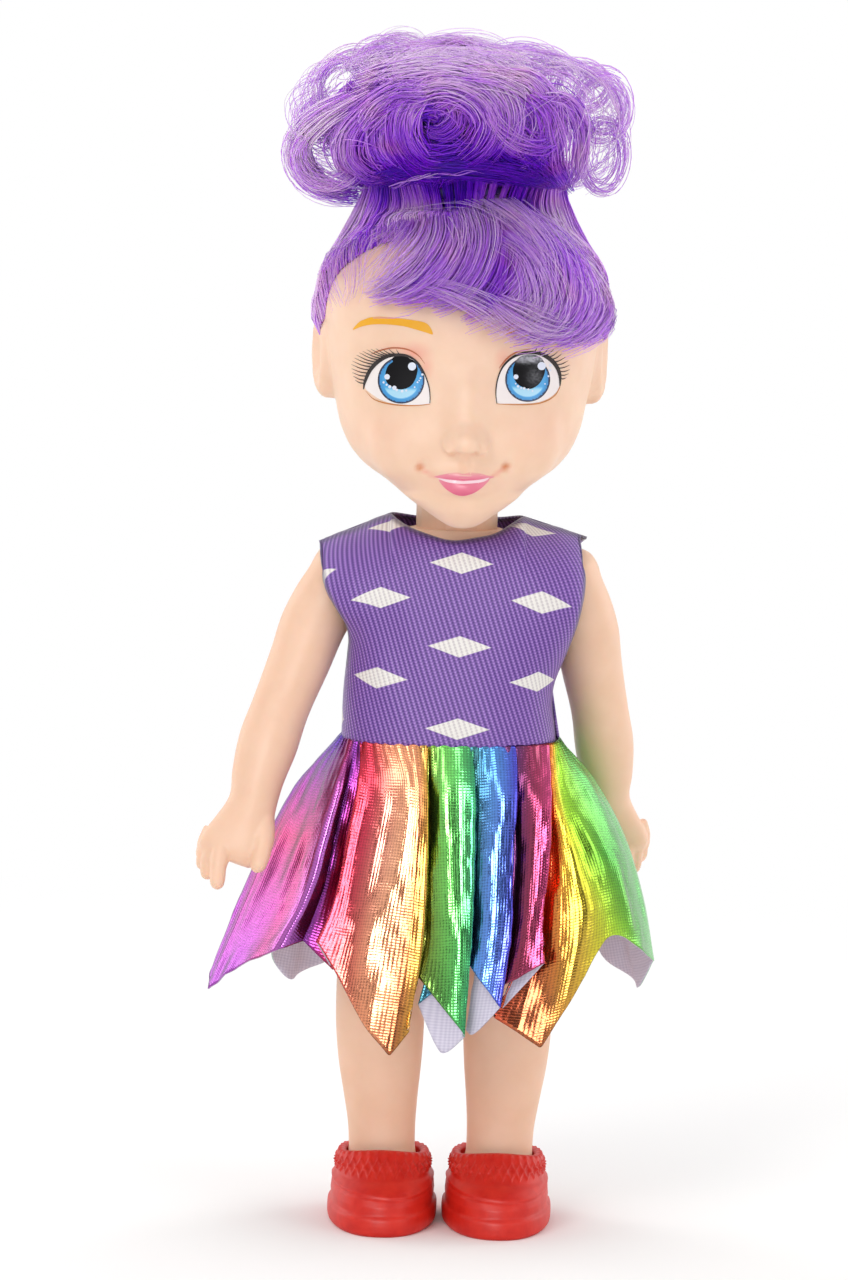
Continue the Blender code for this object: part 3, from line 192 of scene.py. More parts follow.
# a Principled material with short names for adding nodes
class Finish:

    def __init__(self, name, colour, roughness, sockets=None):
        self.material = bpy.data.materials.new(name)
        self.material.use_nodes = True
        self.tree = self.material.node_tree
        self.shader = self.tree.nodes["Principled BSDF"]
        self.shader.inputs["Base Color"].default_value = colour
        self.shader.inputs["Roughness"].default_value = roughness
        for key, value in (sockets or {}).items():
            self.shader.inputs[key].default_value = value

    def node(self, kind, **values):
        node = self.tree.nodes.new(kind)
        for key, value in values.items():
            setattr(node, key, value)
        return node

    def link(self, start, end):
        self.tree.links.new(start, end)

    def attribute(self, name):
        return self.node("ShaderNodeAttribute", attribute_name=name)

    def maths(self, operation, first, second=None, third=None):
        node = self.node("ShaderNodeMath", operation=operation)
        for k, value in enumerate((first, second, third)):
            if value is None:
                continue
            if isinstance(value, (int, float)):
                node.inputs[k].default_value = value
            else:
                self.link(value, node.inputs[k])
        return node.outputs[0]

    def ramp(self, factor, stops):
        node = self.node("ShaderNodeValToRGB")
        elements = node.color_ramp.elements
        while len(elements) < len(stops):
            elements.new(0.5)
        for element, (place, colour) in zip(elements, stops):
            element.position = place
            element.color = colour
        self.link(factor, node.inputs["Fac"])
        return node.outputs["Color"]

    def mix(self, factor, first, second, blend="MIX"):
        node = self.node("ShaderNodeMix", data_type="RGBA", blend_type=blend)
        for socket, value in ((node.inputs["Factor"], factor), (node.inputs[6], first),
                              (node.inputs[7], second)):
            if isinstance(value, (int, float, tuple)):
                socket.default_value = value
            else:
                self.link(value, socket)
        return node.outputs[2]

    def noise(self, scale, detail):
        node = self.node("ShaderNodeTexNoise")
        node.inputs["Scale"].default_value = scale
        node.inputs["Detail"].default_value = detail
        self.link(self.place(), node.inputs["Vector"])
        return node.outputs["Fac"]

    def place(self):
        return self.node("ShaderNodeTexCoord").outputs["Object"]

    def colour(self, socket):
        self.link(socket, self.shader.inputs["Base Color"])

    def bump(self, height, strength, distance):
        node = self.node("ShaderNodeBump")
        node.inputs["Strength"].default_value = strength
        node.inputs["Distance"].default_value = distance
        self.link(height, node.inputs["Height"])
        self.link(node.outputs["Normal"], self.shader.inputs["Normal"])


def skinFinish():
    finish = Finish("dollSkin", tint(242, 205, 178), 0.46, {
        "Subsurface Weight": 0.22, "Subsurface Radius": (1.0, 0.42, 0.22), "Subsurface Scale": 0.0016,
        "Specular IOR Level": 0.34,
    })
    mottle = finish.noise(260, 3)
    base = finish.ramp(mottle, [(0.3, tint(240, 202, 174)), (0.7, tint(244, 208, 182))])
    flushed = finish.mix(finish.attribute("flush").outputs["Fac"], base, tint(236, 158, 140))
    # the warm attribute gives painted shade on the face, in the dimples, and a slightly warmer tone all over
    # the arms and legs
    warmToneAndShade = finish.mix(finish.attribute("warmToneAndShade").outputs["Fac"], flushed, tint(214, 136, 92))
    smoked = finish.mix(finish.attribute("smoke").outputs["Fac"], warmToneAndShade, tint(98, 88, 96))
    finish.colour(smoked)
    finish.bump(finish.noise(900, 2), 0.12, 0.00006)
    return finish.material


def hairFinish():
    finish = Finish("nylonHair", tint(170, 112, 236), 0.46, {
        "Subsurface Weight": 0.5, "Subsurface Radius": (0.7, 0.5, 1.0), "Subsurface Scale": 0.0006,
        "Specular IOR Level": 0.14,
    })
    # the shade attribute holds each strand's own tone together with painted light and shade: deep violet
    # where strands lie in shade, pale lilac where they face the light
    shade = finish.attribute("shade").outputs["Fac"]
    violet = finish.ramp(shade, [
        (0.0, tint(62, 0, 176)), (0.25, tint(118, 14, 238)), (0.5, tint(178, 86, 255)),
        (0.7, tint(206, 134, 255)),
        (0.86, tint(226, 168, 255)), (1.0, tint(240, 202, 255)),
    ])
    pink = finish.ramp(shade, [(0.0, tint(110, 0, 150)), (0.45, tint(204, 96, 214)),
                               (1.0, tint(250, 206, 248))])
    patches = finish.ramp(finish.noise(150, 2), [(0.52, (0, 0, 0, 1)), (0.74, (0.75, 0.75, 0.75, 1))])
    finish.colour(finish.mix(patches, violet, pink))
    return finish.material


# the hair mass under the strands, a darker violet than the strands themselves: painted shade between the
# locks
def shadedUnderlayFinish():
    finish = Finish("hairUnderlay", tint(84, 40, 170), 0.6)
    grain = finish.noise(1400, 3)
    finish.colour(finish.ramp(grain, [(0.3, tint(92, 34, 186)), (0.7, tint(146, 92, 224))]))
    finish.bump(grain, 0.5, 0.0002)
    return finish.material


def paintFinish(name, colour, roughness=0.46):
    finish = Finish(name, colour, roughness, {"Specular IOR Level": 0.25})
    grain = finish.noise(1200, 2)
    finish.colour(finish.mix(finish.maths("MULTIPLY", grain, 0.05), colour, tint(250, 240, 235)))
    return finish.material


def pupilFinish():
    finish = Finish("pupilBlack", tint(10, 8, 12), 0.5, {"Specular IOR Level": 0.12})
    finish.colour(finish.mix(finish.attribute("worn").outputs["Fac"], tint(10, 8, 12), tint(186, 188, 194)))
    return finish.material


def irisFinish():
    finish = Finish("irisBlue", tint(62, 155, 216), 0.32)
    finish.colour(finish.ramp(finish.attribute("shade").outputs["Fac"], [
        (0.0, tint(22, 30, 52)), (0.12, tint(30, 80, 140)), (0.2, tint(58, 146, 208)),
        (0.62, tint(70, 164, 222)),
        (0.8, tint(140, 206, 238)), (1.0, tint(206, 234, 246)),
    ]))
    return finish.material


def lipFinish():
    finish = Finish("lipPink", tint(230, 128, 150), 0.34)
    finish.colour(finish.ramp(finish.attribute("shade").outputs["Fac"], [
        (0.0, tint(238, 182, 168)), (0.45, tint(232, 140, 156)), (1.0, tint(226, 104, 136)),
    ]))
    return finish.material


# satin knit: slanting ribs of small stitches, with a staggered print of off-white rhombs
def knitFinish():
    finish = Finish("bodiceKnit", tint(122, 92, 176), 0.48, {"Sheen Weight": 0.25, "Sheen Roughness": 0.4})
    cloth = finish.attribute("cloth").outputs["Vector"]
    axes = finish.node("ShaderNodeSeparateXYZ")
    finish.link(cloth, axes.inputs[0])
    u, v = axes.outputs[0], axes.outputs[1]
    lean = math.radians(19)
    rib = finish.maths("ADD", finish.maths("MULTIPLY", u, math.cos(lean)),
                       finish.maths("MULTIPLY", v, math.sin(lean)))
    course = finish.maths("SUBTRACT", finish.maths("MULTIPLY", v, math.cos(lean)),
                          finish.maths("MULTIPLY", u, math.sin(lean)))
    ribWave = finish.maths("SINE", finish.maths("MULTIPLY", rib, 2 * math.pi / 0.74))
    slant = finish.maths("ADD", finish.maths("MULTIPLY", course, 2 * math.pi / 0.46),
                         finish.maths("MULTIPLY", ribWave, 1.1))
    stitchWave = finish.maths("SINE", slant)
    height = finish.maths("ADD", finish.maths("MULTIPLY", ribWave, 0.38), finish.maths("MULTIPLY", stitchWave,
                                                                                       0.17))
    height = finish.maths("ADD", height, 0.5)
    # the rib height also colours the knit: painted shade in the grooves between ribs and stitches and paler
    # crests, on the purple and on the white print alike
    ribShadedPurple = finish.ramp(height, [
        (0.08, tint(72, 34, 124)), (0.42, tint(110, 66, 158)), (0.75, tint(134, 90, 178)),
        (1.0, tint(166, 128, 206)),
    ])
    white = finish.ramp(height, [(0.1, tint(206, 198, 200)), (0.6, tint(236, 232, 228))])
    masks = []
    for shiftU, shiftV in ((0.9, 89.7), (13.4, 96.9)):
        du = finish.maths("WRAP", finish.maths("SUBTRACT", u, shiftU), 12.5, -12.5)
        dv = finish.maths("WRAP", finish.maths("SUBTRACT", v, shiftV), 6.22, -6.22)
        reach = finish.maths("ADD", finish.maths("DIVIDE", finish.maths("ABSOLUTE", du), 4.75),
                             finish.maths("DIVIDE", finish.maths("ABSOLUTE", dv), 1.6))
        masks.append(finish.maths("MULTIPLY", finish.maths("SUBTRACT", 1.04, reach), 14.0))
    mask = finish.node("ShaderNodeClamp")
    finish.link(finish.maths("MAXIMUM", *masks), mask.inputs[0])
    printed = finish.mix(mask.outputs[0], ribShadedPurple, white)
    # the cloth turns darker along its armhole, neckline and top edges, where the edge attribute is set
    darkerAtEdges = finish.mix(finish.attribute("edge").outputs["Fac"], printed, tint(52, 34, 88))
    finish.colour(darkerAtEdges)
    finish.bump(height, 0.55, 0.00016)
    return finish.material


def foilFinish():
    # metallic foil pressed on cloth with a fine grid; its reverse is the bare pale cloth
    finish = Finish("rainbowFoil", tint(200, 60, 120), 0.24)
    dye = finish.attribute("dye").outputs["Color"]
    turned = finish.attribute("turned").outputs["Fac"]
    cloth = finish.attribute("cloth").outputs["Vector"]
    axes = finish.node("ShaderNodeSeparateXYZ")
    finish.link(cloth, axes.inputs[0])
    warp = finish.maths("SINE", finish.maths("MULTIPLY", axes.outputs[0], 2 * math.pi / 0.44))
    weft = finish.maths("SINE", finish.maths("MULTIPLY", axes.outputs[1], 2 * math.pi / 0.44))
    weave = finish.maths("MULTIPLY", finish.maths("ADD", warp, weft), 0.25)
    grain = finish.noise(2400, 2)
    crackle = finish.maths("ADD", weave, finish.maths("MULTIPLY", grain, 1.1))
    worn = finish.maths("MULTIPLY", finish.maths("SUBTRACT", crackle, 0.30), 0.55)
    mottled = finish.mix(worn, dye, tint(60, 20, 50), "MULTIPLY")
    threads = finish.mix(finish.maths("ADD", weave, 0.5), tint(196, 190, 212), tint(222, 217, 233))
    silvered = finish.mix(0.035, mottled, tint(255, 255, 255))
    finish.colour(finish.mix(turned, silvered, threads))
    finish.link(finish.maths("MULTIPLY_ADD", turned, -0.94, 0.94), finish.shader.inputs["Metallic"])
    finish.link(finish.maths("MULTIPLY_ADD", turned, 0.55, 0.19), finish.shader.inputs["Roughness"])
    finish.bump(crackle, 0.34, 0.00007)
    return finish.material


def shoeFinish():
    finish = Finish("shoeRed", tint(214, 44, 34), 0.42, {
        "Specular IOR Level": 0.3, "Subsurface Weight": 0.06, "Subsurface Scale": 0.0008,
    })
    grain = finish.noise(500, 3)
    finish.colour(finish.ramp(grain, [(0.3, tint(202, 30, 20)), (0.7, tint(218, 44, 30))]))
    finish.bump(finish.noise(1500, 2), 0.15, 0.00005)
    return finish.material


def plainFinish(name, dark, light, roughness):
    finish = Finish(name, dark, roughness)
    grain = finish.noise(900, 3)
    finish.colour(finish.ramp(grain, [(0.3, dark), (0.7, light)]))
    finish.bump(grain, 0.2, 0.00008)
    return finish.material


skin = skinFinish()
hair = hairFinish()
shadedHairUnderlay = shadedUnderlayFinish()
knit = knitFinish()
foil = foilFinish()
shoeRed = shoeFinish()
tapeWhite = plainFinish("closureTape", tint(206, 204, 214), tint(234, 232, 240), 0.85)
tieViolet = plainFinish("hairTie", tint(54, 18, 130), tint(96, 50, 178), 0.6)


# Head: the same stacked sections and masses as the solid, with finer nostrils, lips and dimples

chinZ, headHeight, halfHead, neckY = 107.5, 47.3, 21.0, 1.5
headTurn = math.radians(3.0)
headCore = np.array((0, neckY, chinZ + 0.475 * headHeight))
sectionShares = (
    (0.017, 0.517, 0.406, 0.480, -0.629), (0.042, 0.556, 0.521, 0.426, -0.581),
    (0.074, 0.628, 0.555, 0.364, -0.543), (0.099, 0.684, 0.677, 0.271, -0.448),
    (0.116, 0.720, 0.943, 0.914, -0.262), (0.144, 0.774, 0.964, 0.964, -0.200),
    (0.180, 0.868, 0.998, 0.955, -0.124), (0.222, 0.917, 0.991, 0.963, -0.076),
    (0.285, 0.933, 0.960, 0.970, -0.038), (0.391, 0.927, 0.917, 0.966, 0.000),
    (0.476, 0.944, 0.911, 0.968, 0.029), (0.581, 0.989, 0.960, 0.999, 0.048),
    (0.687, 1.068, 1.048, 1.058, 0.057), (0.772, 1.123, 1.089, 1.100, 0.057),
    (0.856, 1.167, 1.099, 1.133, 0.062), (0.920, 1.226, 1.130, 1.147, 0.071),
    (0.962, 1.294, 1.145, 1.182, 0.071), (0.989, 1.304, 1.071, 1.117, 0.071),
)
sectionHeights = np.linspace(0, 1, 201)
sectionCurves = [smoothTable(sectionHeights, column(sectionShares, k)) for k in range(1, 5)]
headSize = np.array((halfHead, halfHead, headHeight))
headBase = np.array((0, 0, chinZ))
headMasses = (
    ((-0.360, -0.600, 0.275), (0.300, 0.240, 0.130), 0.10), ((0.360, -0.600, 0.275), (0.300, 0.240, 0.130),
                                                             0.10),
    ((0.000, -0.840, 0.370), (0.085, 0.085, 0.100), 0.14), ((0.000, -0.915, 0.290), (0.100, 0.115, 0.034),
                                                            0.09),
    ((-0.100, -0.895, 0.280), (0.052, 0.062, 0.023), 0.05), ((0.100, -0.895, 0.280), (0.052, 0.062, 0.023),
                                                             0.05),
    ((0.000, -0.850, 0.176), (0.190, 0.085, 0.020), 0.06), ((0.000, -0.840, 0.135), (0.150, 0.085, 0.023),
                                                            0.06),
    ((-0.965, 0.140, 0.535), (0.125, 0.200, 0.150), 0.06), ((0.965, 0.140, 0.535), (0.125, 0.200, 0.150),
                                                            0.06),
)
eyeHollow = ((0.445, -1.130, 0.485), (0.300, 0.270, 0.110), 0.14)


def ellipsoid(points, centre, radii):
    q = (points - centre) / radii
    near = np.linalg.norm(q, axis=1)
    return near * (near - 1) / np.maximum(np.linalg.norm(q / radii, axis=1), 1e-9)


def skull(points):
    height = (points[:, 2] - chinZ) / headHeight
    half, front, back, middle = (np.interp(height, sectionHeights, curve) for curve in sectionCurves)
    x = np.abs(points[:, 0]) / (half * halfHead)
    y = points[:, 1] - middle * halfHead
    y = np.abs(y) / (np.where(y < 0, front, back) * halfHead)
    return np.sqrt((x**2.2 + y**2.2) ** (2 / 2.2) + (2 * height - 1) ** 2) - 1


def blended(first, second, blend):
    mix = np.clip(0.5 + 0.5 * (second - first) / blend, 0, 1)
    return second * (1 - mix) + first * mix - blend * mix * (1 - mix)


headDetails = []


# roughly the distance of points from the head's skin, negative inside, in the head's own frame
def headDistance(points):
    slope = [(skull(points + step) - skull(points - step)) / 0.02 for step in 0.01 * np.eye(3)]
    total = skull(points) / np.maximum(np.linalg.norm(slope, axis=0), 0.001)
    for centre, radii, blend in headMasses:
        mass = ellipsoid(points, headBase + np.array(centre) * headSize, np.array(radii) * headSize)
        total = blended(total, mass, blend * halfHead)
    for side in (-1, 1):
        centre = headBase + np.array((side, 1, 1)) * np.array(eyeHollow[0]) * headSize
        total = -blended(-total, ellipsoid(points, centre, np.array(eyeHollow[1]) * headSize),
                         eyeHollow[2] * halfHead)
    for centre, radii, blend, raised in headDetails:
        mass = ellipsoid(points, np.array(centre), np.array(radii))
        total = blended(total, mass, blend) if raised else -blended(-total, mass, blend)
    return total


def headPoints(azimuths, polars, offsets, steps=26):
    a, p = np.asarray(azimuths, float), np.asarray(polars, float)
    rays = np.stack((np.sin(p) * np.sin(a), -np.sin(p) * np.cos(a), np.cos(p)), axis=1)
    low, high = np.zeros(len(rays)), np.full(len(rays), 60.0)
    for _ in range(steps):
        middle = (low + high) / 2
        inside = headDistance(headCore + rays * middle[:, None]) < offsets
        low, high = np.where(inside, middle, low), np.where(inside, high, middle)
    return headCore + rays * low[:, None]


def turnHead(points):
    p = np.array(points, float)
    c, s = math.cos(headTurn), math.sin(headTurn)
    x, y = p[..., 0].copy(), p[..., 1] - neckY
    p[..., 0], p[..., 1] = c * x - s * y, s * x + c * y + neckY
    return p


# the skin's depth at a place of the face, in the head's own frame
def skinAt(x, z):
    low, high = -30.0, 0.0
    for _ in range(26):
        y = (low + high) / 2
        if headDistance(np.array([(x, y, z)]))[0] > 0:
            low = y
        else:
            high = y
    return low


def addHeadDetails():
    found = []
    for side in (-1, 1):
        found.append(((side * 1.45, skinAt(side * 1.45, 119.1) - 0.30, 119.0), (0.62, 0.60, 0.42), 0.35,
                      False))
        corner = (side * 6.25, 116.9)
        found.append(((corner[0], skinAt(*corner) - 0.55, corner[1]), (0.85, 0.95, 0.80), 0.9, False))
        found.append(((side * 22.1, 1.6, 132.6), (0.9, 2.3, 4.4), 1.2, False))
        found.append(((side * 2.35, skinAt(side * 2.35, 119.9) + 0.05, 119.9), (1.05, 0.95, 1.0), 0.7, True))
    found.append(((0, skinAt(0, 120.4) + 0.15, 120.4), (1.7, 1.05, 1.35), 1.0, True))
    found.append(((0, skinAt(0, 114.95) - 0.35, 114.95), (3.9, 0.62, 0.24), 0.35, False))
    found.append(((0, skinAt(0, 117.6) - 0.55, 117.6), (0.55, 0.75, 1.0), 0.9, False))
    headDetails.extend(found)


def makeHead():
    addHeadDetails()
    columns, rows = 236, 150
    a = np.linspace(-math.pi, math.pi, columns, endpoint=False)
    a = a - 0.45 * np.sin(a)
    p = np.radians(np.linspace(0.6, 157.5, rows))
    grid = headPoints(np.tile(a, rows), np.repeat(p, columns), 0).reshape(rows, columns, 3)
    rings = [grid]
    for radius, z in ((5.9, 112.75), (5.3, 112.95), (5.5, 114.4)):
        ring = np.stack((radius * np.sin(a), neckY - radius * np.cos(a), np.full(columns, z)), axis=1)
        rings.append(ring[None])
    grid = np.concatenate(rings)
    flat = turnHead(grid.reshape(-1, 3))
    faces = gridFaces(len(grid), columns, True)[:, ::-1]
    crown = len(flat)
    top = turnHead(headPoints([0.0], [0.0], 0))
    flat = np.concatenate((flat, top))
    cap = rim(0, columns, crown, True)
    obj = addMesh("headSkin", flat, faces.tolist() + cap, skin)
    x, y, z = flat.T
    front = y < -6
    flush, warmToneAndShade, smoke = (np.zeros(len(flat)) for _ in range(3))

    def spot(cx, cz, rx, rz, strength):
        reach = np.sqrt(((x - cx) / rx) ** 2 + ((z - cz) / rz) ** 2)
        return strength * np.where(front, np.clip(1 - reach, 0, 1), 0)

    for spotSettings in ((-7.0, 133.4, 3.4, 2.1, 0.85), (-5.2, 131.6, 1.4, 2.4, 0.6),
                         (6.4, 132.9, 1.8, 2.2, 0.6),
                         (-9.5, 134.3, 4.2, 1.1, 0.35), (0.8, 114.6, 7.2, 2.6, 0.28),
                         (-11.5, 121.5, 6.5, 5.0, 0.12),
                         (12.5, 121.8, 6.5, 5.0, 0.16)):
        flush = np.maximum(flush, spot(*spotSettings))
    # warm spots: painted shade in the dimples at the mouth corners, and two faint warm spots by the nostrils
    for spotSettings in ((-5.68, 116.75, 0.95, 0.85, 1.1), (6.98, 117.17, 0.95, 0.85, 1.1),
                         (-1.0, 118.95, 0.8, 0.5, 0.25),
                         (2.3, 119.05, 0.8, 0.5, 0.25)):
        warmToneAndShade = np.maximum(warmToneAndShade, spot(*spotSettings))
    for line in (((-5.68, 116.75), (-4.6, 115.96), (-3.4, 115.5)),
                 ((6.98, 117.17), (6.1, 116.4), (5.0, 115.75))):
        for px, pz in splineThrough(line, 14):
            flush = np.maximum(flush, spot(px, pz, 0.55, 0.42, 0.75))
    for px, pz, strength in ((-13.2, 131.2, 0.75), (-12.4, 132.0, 0.8), (-11.4, 132.6, 0.75),
                             (-10.2, 132.9, 0.55),
                             (-13.6, 130.0, 0.6), (13.6, 132.3, 0.5), (14.1, 131.0, 0.5), (12.6, 133.2, 0.4)):
        smoke = np.maximum(smoke, spot(px, pz, 1.0, 0.8, strength))
    setValues(obj, "flush", flush)
    setValues(obj, "warmToneAndShade", warmToneAndShade)
    setValues(obj, "smoke", smoke)
    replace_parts(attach(obj, "head"), "head")
    tree = BVHTree.FromPolygons([tuple(v) for v in flat], [tuple(f) for f in faces.tolist()] + cap)
    return tree


headTree = makeHead()


# Face paint: thin prints laid on the skin along the photograph's line of sight

def onSkin(x, z, lift):
    target = Vector((x, -19.0, z))
    start = Vector(eyePoint)
    hit, normal, _, _ = headTree.ray_cast(start, (target - start).normalized())
    if hit is None:
        hit, normal, _, _ = headTree.find_nearest(Vector((x, -7.0, z)))
        return np.array(hit + normal * lift)
    if normal.dot(target - start) > 0:
        normal = -normal
    return np.array(hit + normal * lift)


def inPolygon(points, outline):
    x, z = points[:, 0], points[:, 1]
    inside = np.zeros(len(points), bool)
    for (ax, az), (bx, bz) in zip(outline, np.roll(outline, -1, axis=0)):
        crosses = (az > z) != (bz > z)
        inside ^= crosses & (x < (bx - ax) * (z - az) / (bz - az + 1e-12) + ax)
    return inside


# a flat polygon filled with small triangles
def printPatch(outline, spacing=0.32):
    outline = np.asarray(outline, float)
    low, high = outline.min(0), outline.max(0)
    gx, gz = np.meshgrid(np.arange(low[0], high[0], spacing), np.arange(low[1], high[1], spacing))
    extra = np.stack((gx.ravel() + 0.13 * spacing, gz.ravel() + 0.07 * spacing), axis=1)
    extra = extra[inPolygon(extra, outline)] if len(extra) else extra
    count = len(outline)
    near = np.array([np.min(np.hypot(*(outline - e).T)) > 0.3 * spacing for e in extra],
                    bool) if len(extra) else []
    extra = extra[near] if len(extra) else extra
    verts = [Vector(p) for p in outline] + [Vector(p) for p in extra]
    edges = [(k, (k + 1) % count) for k in range(count)]
    result = delaunay_2d_cdt(verts, edges, [list(range(count))], 1, 1e-6)
    return np.array([tuple(v) for v in result[0]]), [tuple(f) for f in result[2]]


def ribbonOutline(points, widths, count=24):
    line = splineThrough(points, count)
    width = smoothTable(np.linspace(0, 1, count), list(zip(np.linspace(0, 1, len(widths)), widths)))
    tangent = np.gradient(line, axis=0)
    tangent /= np.maximum(np.linalg.norm(tangent, axis=1, keepdims=True), 1e-9)
    side = np.stack((-tangent[:, 1], tangent[:, 0]), axis=1) * np.maximum(width, 0.02)[:, None] / 2
    return np.concatenate((line + side, (line - side)[::-1]))


def discOutline(x, z, radius, count=40):
    angle = np.linspace(0, 2 * math.pi, count, endpoint=False)
    return np.stack((x + radius * np.cos(angle), z + radius * np.sin(angle)), axis=1)


# one object from several flat outlines, pressed on the skin; values gives attributes from flat places
def printPiece(name, outlines, lift, material, spacing=0.32, values=None):
    points, faces, flats = [], [], []
    for outline in outlines:
        flat, tris = printPatch(outline, spacing)
        start = len(points)
        for x, z in flat:
            points.append(onSkin(x, z, lift))
        flats.append(flat)
        faces += [tuple(k + start for k in tri) for tri in tris]
    points = np.array(points)
    facing = []
    for face in faces:
        a, b, c = (points[k] for k in face[:3])
        facing.append(face if np.cross(b - a, c - a)[1] < 0 else face[::-1])
    obj = addMesh(name, points, facing, material)
    for key, rule in (values or {}).items():
        setValues(obj, key, rule(np.concatenate(flats)))
    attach(obj, "head")
    return obj


